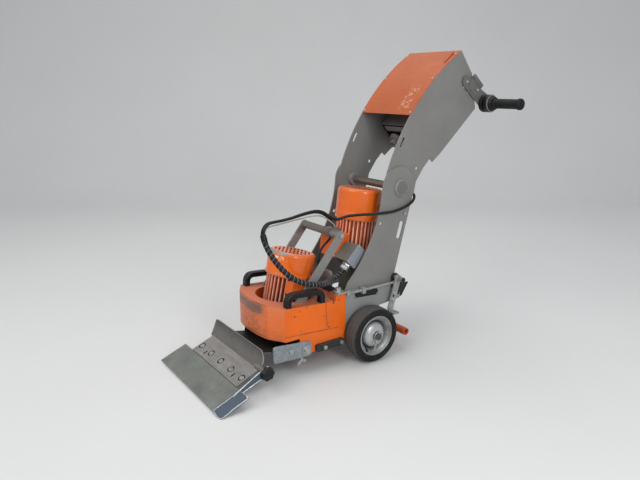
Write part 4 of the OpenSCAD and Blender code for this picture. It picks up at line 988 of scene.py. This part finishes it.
surround = Shape()
for x, u, w, h in ((0, 44, 214, 84), (0, 116.5, 214, 5), (-106, 101, 5, 30), (106, 101, 5, 30)):
    surround.prism(rounded_rect(w, h, 1.5, 2), 0.1, 2.2, on_box(x, u), 0.5, 1)
surround.make("box_surround", "black_and_painted_shade", "black_plastic", "console")
at = on_box(-70, 46, 2.2)
gland = Shape()
gland.loop([(19, 0), (30, 0), (30, 6), (28.5, 8), (27.5, 8), (26, 14), (24.5, 15.5), (19, 15.5)], at, 32)
gland.lathe([(18.5, -0.5), (18.5, 9), (16.5, 10), (16.5, 30), (15.5, 31.5), (11, 31.5), (10, 26), (1, 26)],
            at, 28)
gland.make("box_gland", "grey_moulded", "grey_plastic", "console", sharp=40)


# Terminal box: lid screws and a gland nut with a knurled sleeve

LID_FACE, GLAND_X = 119.05, 96

lid_screws = Shape()
for y, z in corners(18.5, 32):
    lid_screws.screw(TERMINAL @ along_x(LID_FACE, y, z), 3.6, 2.4)
lid_screws.make("lid_screws", "zinc_bolt", "galvanised")
at = TERMINAL @ moved(GLAND_X, 0, 0)
nut = Shape().loop([(13.1, -46), (16, -46), (16, -37.5), (13.1, -37.5)], at, 6)
nut.loop([(13.1, -49), (15.4, -49), (15.4, -59), (14, -62), (13.1, -62)], at, 72,
         lambda r, a: r + (0.5 * math.cos(24 * a) if r > 15 else 0))
nut.make("gland_nut", "zinc_bolt", "galvanised", sharp=50)


# Blank plate with a border and rivets on the near chassis plate

at = along_x(145, 9, 238.5) @ turned("Z", -4)
plate = Shape().prism(rounded_rect(108, 27, 2, 3), 0.05, 1.1, at, 0.3, 1)
plate.make("blank_plate", "plastic_black", "black_plastic")
border = Shape()
for x, y, w, h in ((0, 14.1, 112, 2), (0, -14.1, 112, 2), (55, 0, 2, 30.2), (-55, 0, 2, 30.2)):
    border.prism(rounded_rect(w, h, 0.7, 2), 0.05, 1.3, at @ moved(x, y, 0), 0.3, 1)
border.make("plate_border", "zinc_dull", "galvanised")
rivets = Shape()
for x, y in corners(50, 9.5):
    rivets.lathe([(2.4, 1), (2.3, 1.6), (1.6, 2.2), (0.3, 2.5)], at @ moved(x, y, 0), 14)
rivets.make("plate_rivets", "zinc_bolt", "galvanised")


# Pedal bolts on the lever, with a disc of painted shade for the hole between them

PEDAL_FACE = 166.05

bolts = Shape()
for y, z in ((123.4, 221), (117.6, 196)):
    bolts.lathe([(8, 0), (8, 1.6), (7.6, 2)], along_x(PEDAL_FACE, y, z), 24)
    bolts.lathe([(6.4, 2), (6.4, 6.2), (5.4, 7), (1, 7)], along_x(PEDAL_FACE, y, z), 6)
bolts.make("pedal_bolts", "zinc_bolt", "galvanised", "pedal_lever", sharp=30)
hole_shade = Shape().lathe([(4, 0), (4, 0.5), (3.4, 0.7), (0.4, 0.7)], along_x(166.02, 120.5, 208.5), 20)
hole_shade.make("pedal_hole_shade", "black_and_painted_shade", "black_plastic", "pedal_lever")


# Lug on the front cross wall

lug = Shape().prism(rounded_rect(50, 50, 15, 6), 0, 9, tilted((39, -79, 287), 90), 1.6)
lug.make("wall_lug", "grey_chassis_painted_light", "grey_paint")


# Ballast: weld beads, painted seams on its sides and a joint on its front

SEAM_X, SEAM_STEPS = 151.8, 12


def weld_beads(s, m):
    s.bead((151.4, -334.6, 158), (151.4, -334.6, 252.6), 2, m)
    s.bead((111.8, -131.2, 244), (151.6, -131.2, 244), 2, m)
    s.bead((110.2, -262, 248.9), (110.2, -238, 247.2), 2.4, m)


def seams(s, m):
    for a, b in (((-338, 155.8), (-122, 141.3)), ((-174.9, 243), (-168.6, 148))):
        a, b = Vector((SEAM_X, *a)), Vector((SEAM_X, *b))
        s.tube([m @ a.lerp(b, i / SEAM_STEPS) for i in range(SEAM_STEPS + 1)], 1.1, 8)


both(weld_beads).make("weld_beads", "orange_ballast", "orange_paint", sharp=60)
both(seams).make("ballast_seams", "orange_seam", "orange_paint", sharp=60)
joint = Shape().bead((92.5, -369, 254), (85.5, -371.4, 148), 2.6)
joint.make("ballast_front_joint", "orange_worn", "orange_paint", sharp=60)


# Blade head: clamp bolts in wells lined with painted shade, slits of painted shade and plugs in the leg

BOLT_PITCH, BOLT_ROW = 73, 133

heads, well_shade = Shape(), Shape()
for i in range(-2, 3):
    at = BLADE @ moved(BOLT_PITCH * i, BOLT_ROW, 0)
    heads.lathe([(5, 3.1), (5, 8), (9, 8.2), (9, 12.2), (8.2, 13), (5, 13.1), (4.6, 12.7), (4.4, 10.6),
                 (0.3, 10.4)], at, 28)
    well_shade.loop([(9.2, 8.15), (12.95, 8.15), (12.95, 11.9), (12.3, 12.1), (9.8, 11), (9.2, 10.4)], at, 28)
heads.make("clamp_bolt_heads", "zinc_bolt", "galvanised", "blade_carrier", "clamp_bolts")
for x in (-98, 107):
    well_shade.prism(rounded_rect(5.5, 18, 2.6, 4), 10, 12.5, BLADE @ moved(x, 121.7, 0), 0.3, 1)
well_shade.make("clamp_well_shade", "black_and_painted_shade", "black_steel", "blade_carrier")
plugs = Shape()
for x in (-99, 51):
    plugs.prism(rounded_rect(21.9, 5.9, 0.6, 2), 6.3, 12.1, BLADE @ moved(x, 112, 0), 0.2, 1)
plugs.make("leg_plugs", "carrier_steel", "galvanised", "blade_carrier")


# Blade head: folded edges on the guard, painted pale as highlights, and the rounded lip of the flange

folds = Shape()
for r, *path in (
    (1.2, (193.4, 0.9, 9.5), (237, 0.9, 2.9), (237.2, 50, 2.9), (237.2, 101, 2.9)),
    (1.1, (193.3, 0.9, 9.5), (193.3, 50, 9.5), (193.3, 99, 9.5)),
    (1, (193.4, 99.6, 9.3), (215, 101, 6.3), (236, 102, 3.2)),
    (1.5, (195.5, 72, 9.9), (195.5, 166, 22.2), (195.5, 211, 23.4)),
    (1.7, (198.2, 96, 1.4), (199.6, 130, 2.6), (198.8, 170, 1.2), (198.2, 211, 1.4)),
    (2, (229, 102, 4.6), (235, 103, 3.2), (238.6, 101, 4.4), (238.4, 98.6, 7), (235.6, 98.8, 8)),
):
    folds.tube([BLADE @ q for q in spline(path, 6)], r, 8)
folds.make("guard_folds", "steel_edge_painted_highlight", "galvanised", "blade_carrier", sharp=60)

LIP_TOP = 59.6
flange = BLADE @ tilted((0, 187, 12.1), 45.5)
outline = [(175.6, 0), (175.6, 10), *arc(136, 20, 39.6, 0, 90, 10)]
outline += [(x, LIP_TOP) for x in (100, 0, -100, -167)]
lip = Shape().tube([flange @ Vector((x, h, -1.2)) for x, h in outline], 1.3, 8)
lip.make("flange_lip", "zinc_dull", "galvanised", "blade_carrier", sharp=60)


# Bezels of the rear controls

PANEL_Y, PANEL_Z = 510, 996
PANEL_BACK, PANEL_DOWN = 0.23539, 0.97190
CONTROL_ROW = 50


def on_panel(x):
    """A place in the row of controls, local Z out of the panel."""
    y, z = PANEL_Y + CONTROL_ROW * PANEL_BACK, PANEL_Z - CONTROL_ROW * PANEL_DOWN
    return Matrix(((1, 0, 0, x), (0, -PANEL_BACK, PANEL_DOWN, y), (0, PANEL_DOWN, PANEL_BACK, z),
                   (0, 0, 0, 1)))


bezels = Shape()
for x, inner, r in ((-60, 10.5, 16), (0, 8.1, 13.6), (60, 17.6, 20.5)):
    bezels.loop([(inner, 0.05), (r, 0.05), (r, 1.2), (r - 0.8, 1.9), (inner, 1.9)], on_panel(x), 40)
bezels.make("control_bezels", "plastic_black", "black_plastic", "console")


# Connection block on the front of the rear motor, with a screwed lid; the terminal box joins its side

BLOCK_DEPTH, BLOCK_LID = 44, 50
at = REAR_AXIS @ tilted((-14.2, -62, 286), 90)
block = Shape().prism(rounded_rect(107, 96, 8, 5), 0, BLOCK_DEPTH, at, 2.5, 3)
block.prism(rounded_rect(101, 90, 7, 5), BLOCK_DEPTH, BLOCK_LID, at, 2)
block.make("motor_connection_block", "orange_worn", "orange_paint")
block_screws = Shape()
for x, y in corners(43, 37):
    block_screws.screw(at @ moved(x, y, BLOCK_LID), 4, 2.6)
block_screws.make("block_screws", "zinc_bolt", "galvanised")


# Skirts of the cowls and the screws in them

COWL_R = 84.2

skirts, cowl_screws = Shape(), Shape()
for axis, low, high, row in ((FRONT_AXIS, 132, 143, 138), (REAR_AXIS, 384, 411, 396)):
    skirts.loop([(82, low), (84, low), (84.3, low + 1), (84.3, high - 1.4), (83.9, high - 0.5), (83, high),
                 (82, high)], axis, 72)
    for k in range(4):
        cowl_screws.screw(axis @ turned("Z", 25 + 90 * k) @ moved(COWL_R, 0, row) @ turned("Y", 90), 3.6, 2.2)
skirts.make("cowl_skirts", "orange_rear_cowl", "orange_paint", sharp=40)
cowl_screws.make("cowl_screws", "zinc_bolt", "galvanised")


# Studio: a floor that curves up into a wall, a pale sky and three lamps, in metres

FLOOR_FRONT, FLOOR_BACK, FLOOR_HALF, CURVE_R, WALL_TOP = -6, 2.6, 7, 1.6, 7

away = Vector((-math.sin(CAMERA_HEADING), math.cos(CAMERA_HEADING), 0))
across = Vector((away.y, -away.x, 0))
curve = [polar(CURVE_R, a - 90, FLOOR_BACK, CURVE_R) for a in range(6, 91, 6)]
line = [(FLOOR_FRONT, 0), (FLOOR_BACK, 0), *curve, (FLOOR_BACK + CURVE_R, WALL_TOP)]
verts = [tuple(away * d + across * w + Vector((0, 0, h))) for d, h in line for w in (-FLOOR_HALF, FLOOR_HALF)]
stage = bpy.data.meshes.new("studio_floor")
stage.from_pydata(verts, [], [(2 * i, 2 * i + 1, 2 * i + 3, 2 * i + 2) for i in range(len(line) - 1)])
for face in stage.polygons:
    face.use_smooth = True
floor = bpy.data.objects.new("studio_floor", stage)
SCENE.collection.objects.link(floor)
f = Finish("studio_pale", (0.62, 0.62, 0.61), 0.7)
f.tone = f.mix(f.noise(1.2, 3), (0.60, 0.60, 0.59), (0.65, 0.65, 0.645))
f.done()
stage.materials.append(LOOK["studio_pale"])

SCENE.world = bpy.data.worlds.new("studio")
SCENE.world.use_nodes = True
sky = SCENE.world.node_tree.nodes["Background"].inputs
sky["Color"].default_value = (0.93, 0.96, 1, 1)
sky["Strength"].default_value = 0.6


def lamp(name, at, aim, size, watts, colour=(1, 1, 1), tall=None):
    """A round area lamp, or an upright one where it is tall."""
    light = bpy.data.objects.new(name, bpy.data.lights.new(name, "AREA"))
    SCENE.collection.objects.link(light)
    light.data.shape = "RECTANGLE" if tall else "DISK"
    light.data.size = size
    if tall:
        light.data.size_y = tall
    light.data.energy = watts
    light.data.color = colour
    light.location = at
    light.rotation_euler = (Vector(aim) - Vector(at)).to_track_quat("-Z", "Y").to_euler()


lamp("key", (0.2, -2.6, 3), (0, 0, 0.4), 2.6, 56, (1, 0.98, 0.95))
lamp("fill", (3.1, -0.5, 1.8), (0, 0, 0.5), 0.7, 46, (0.95, 0.98, 1), 2)
lamp("top", (-0.8, 0.8, 3.6), (0, 0, 0.5), 2.8, 38)
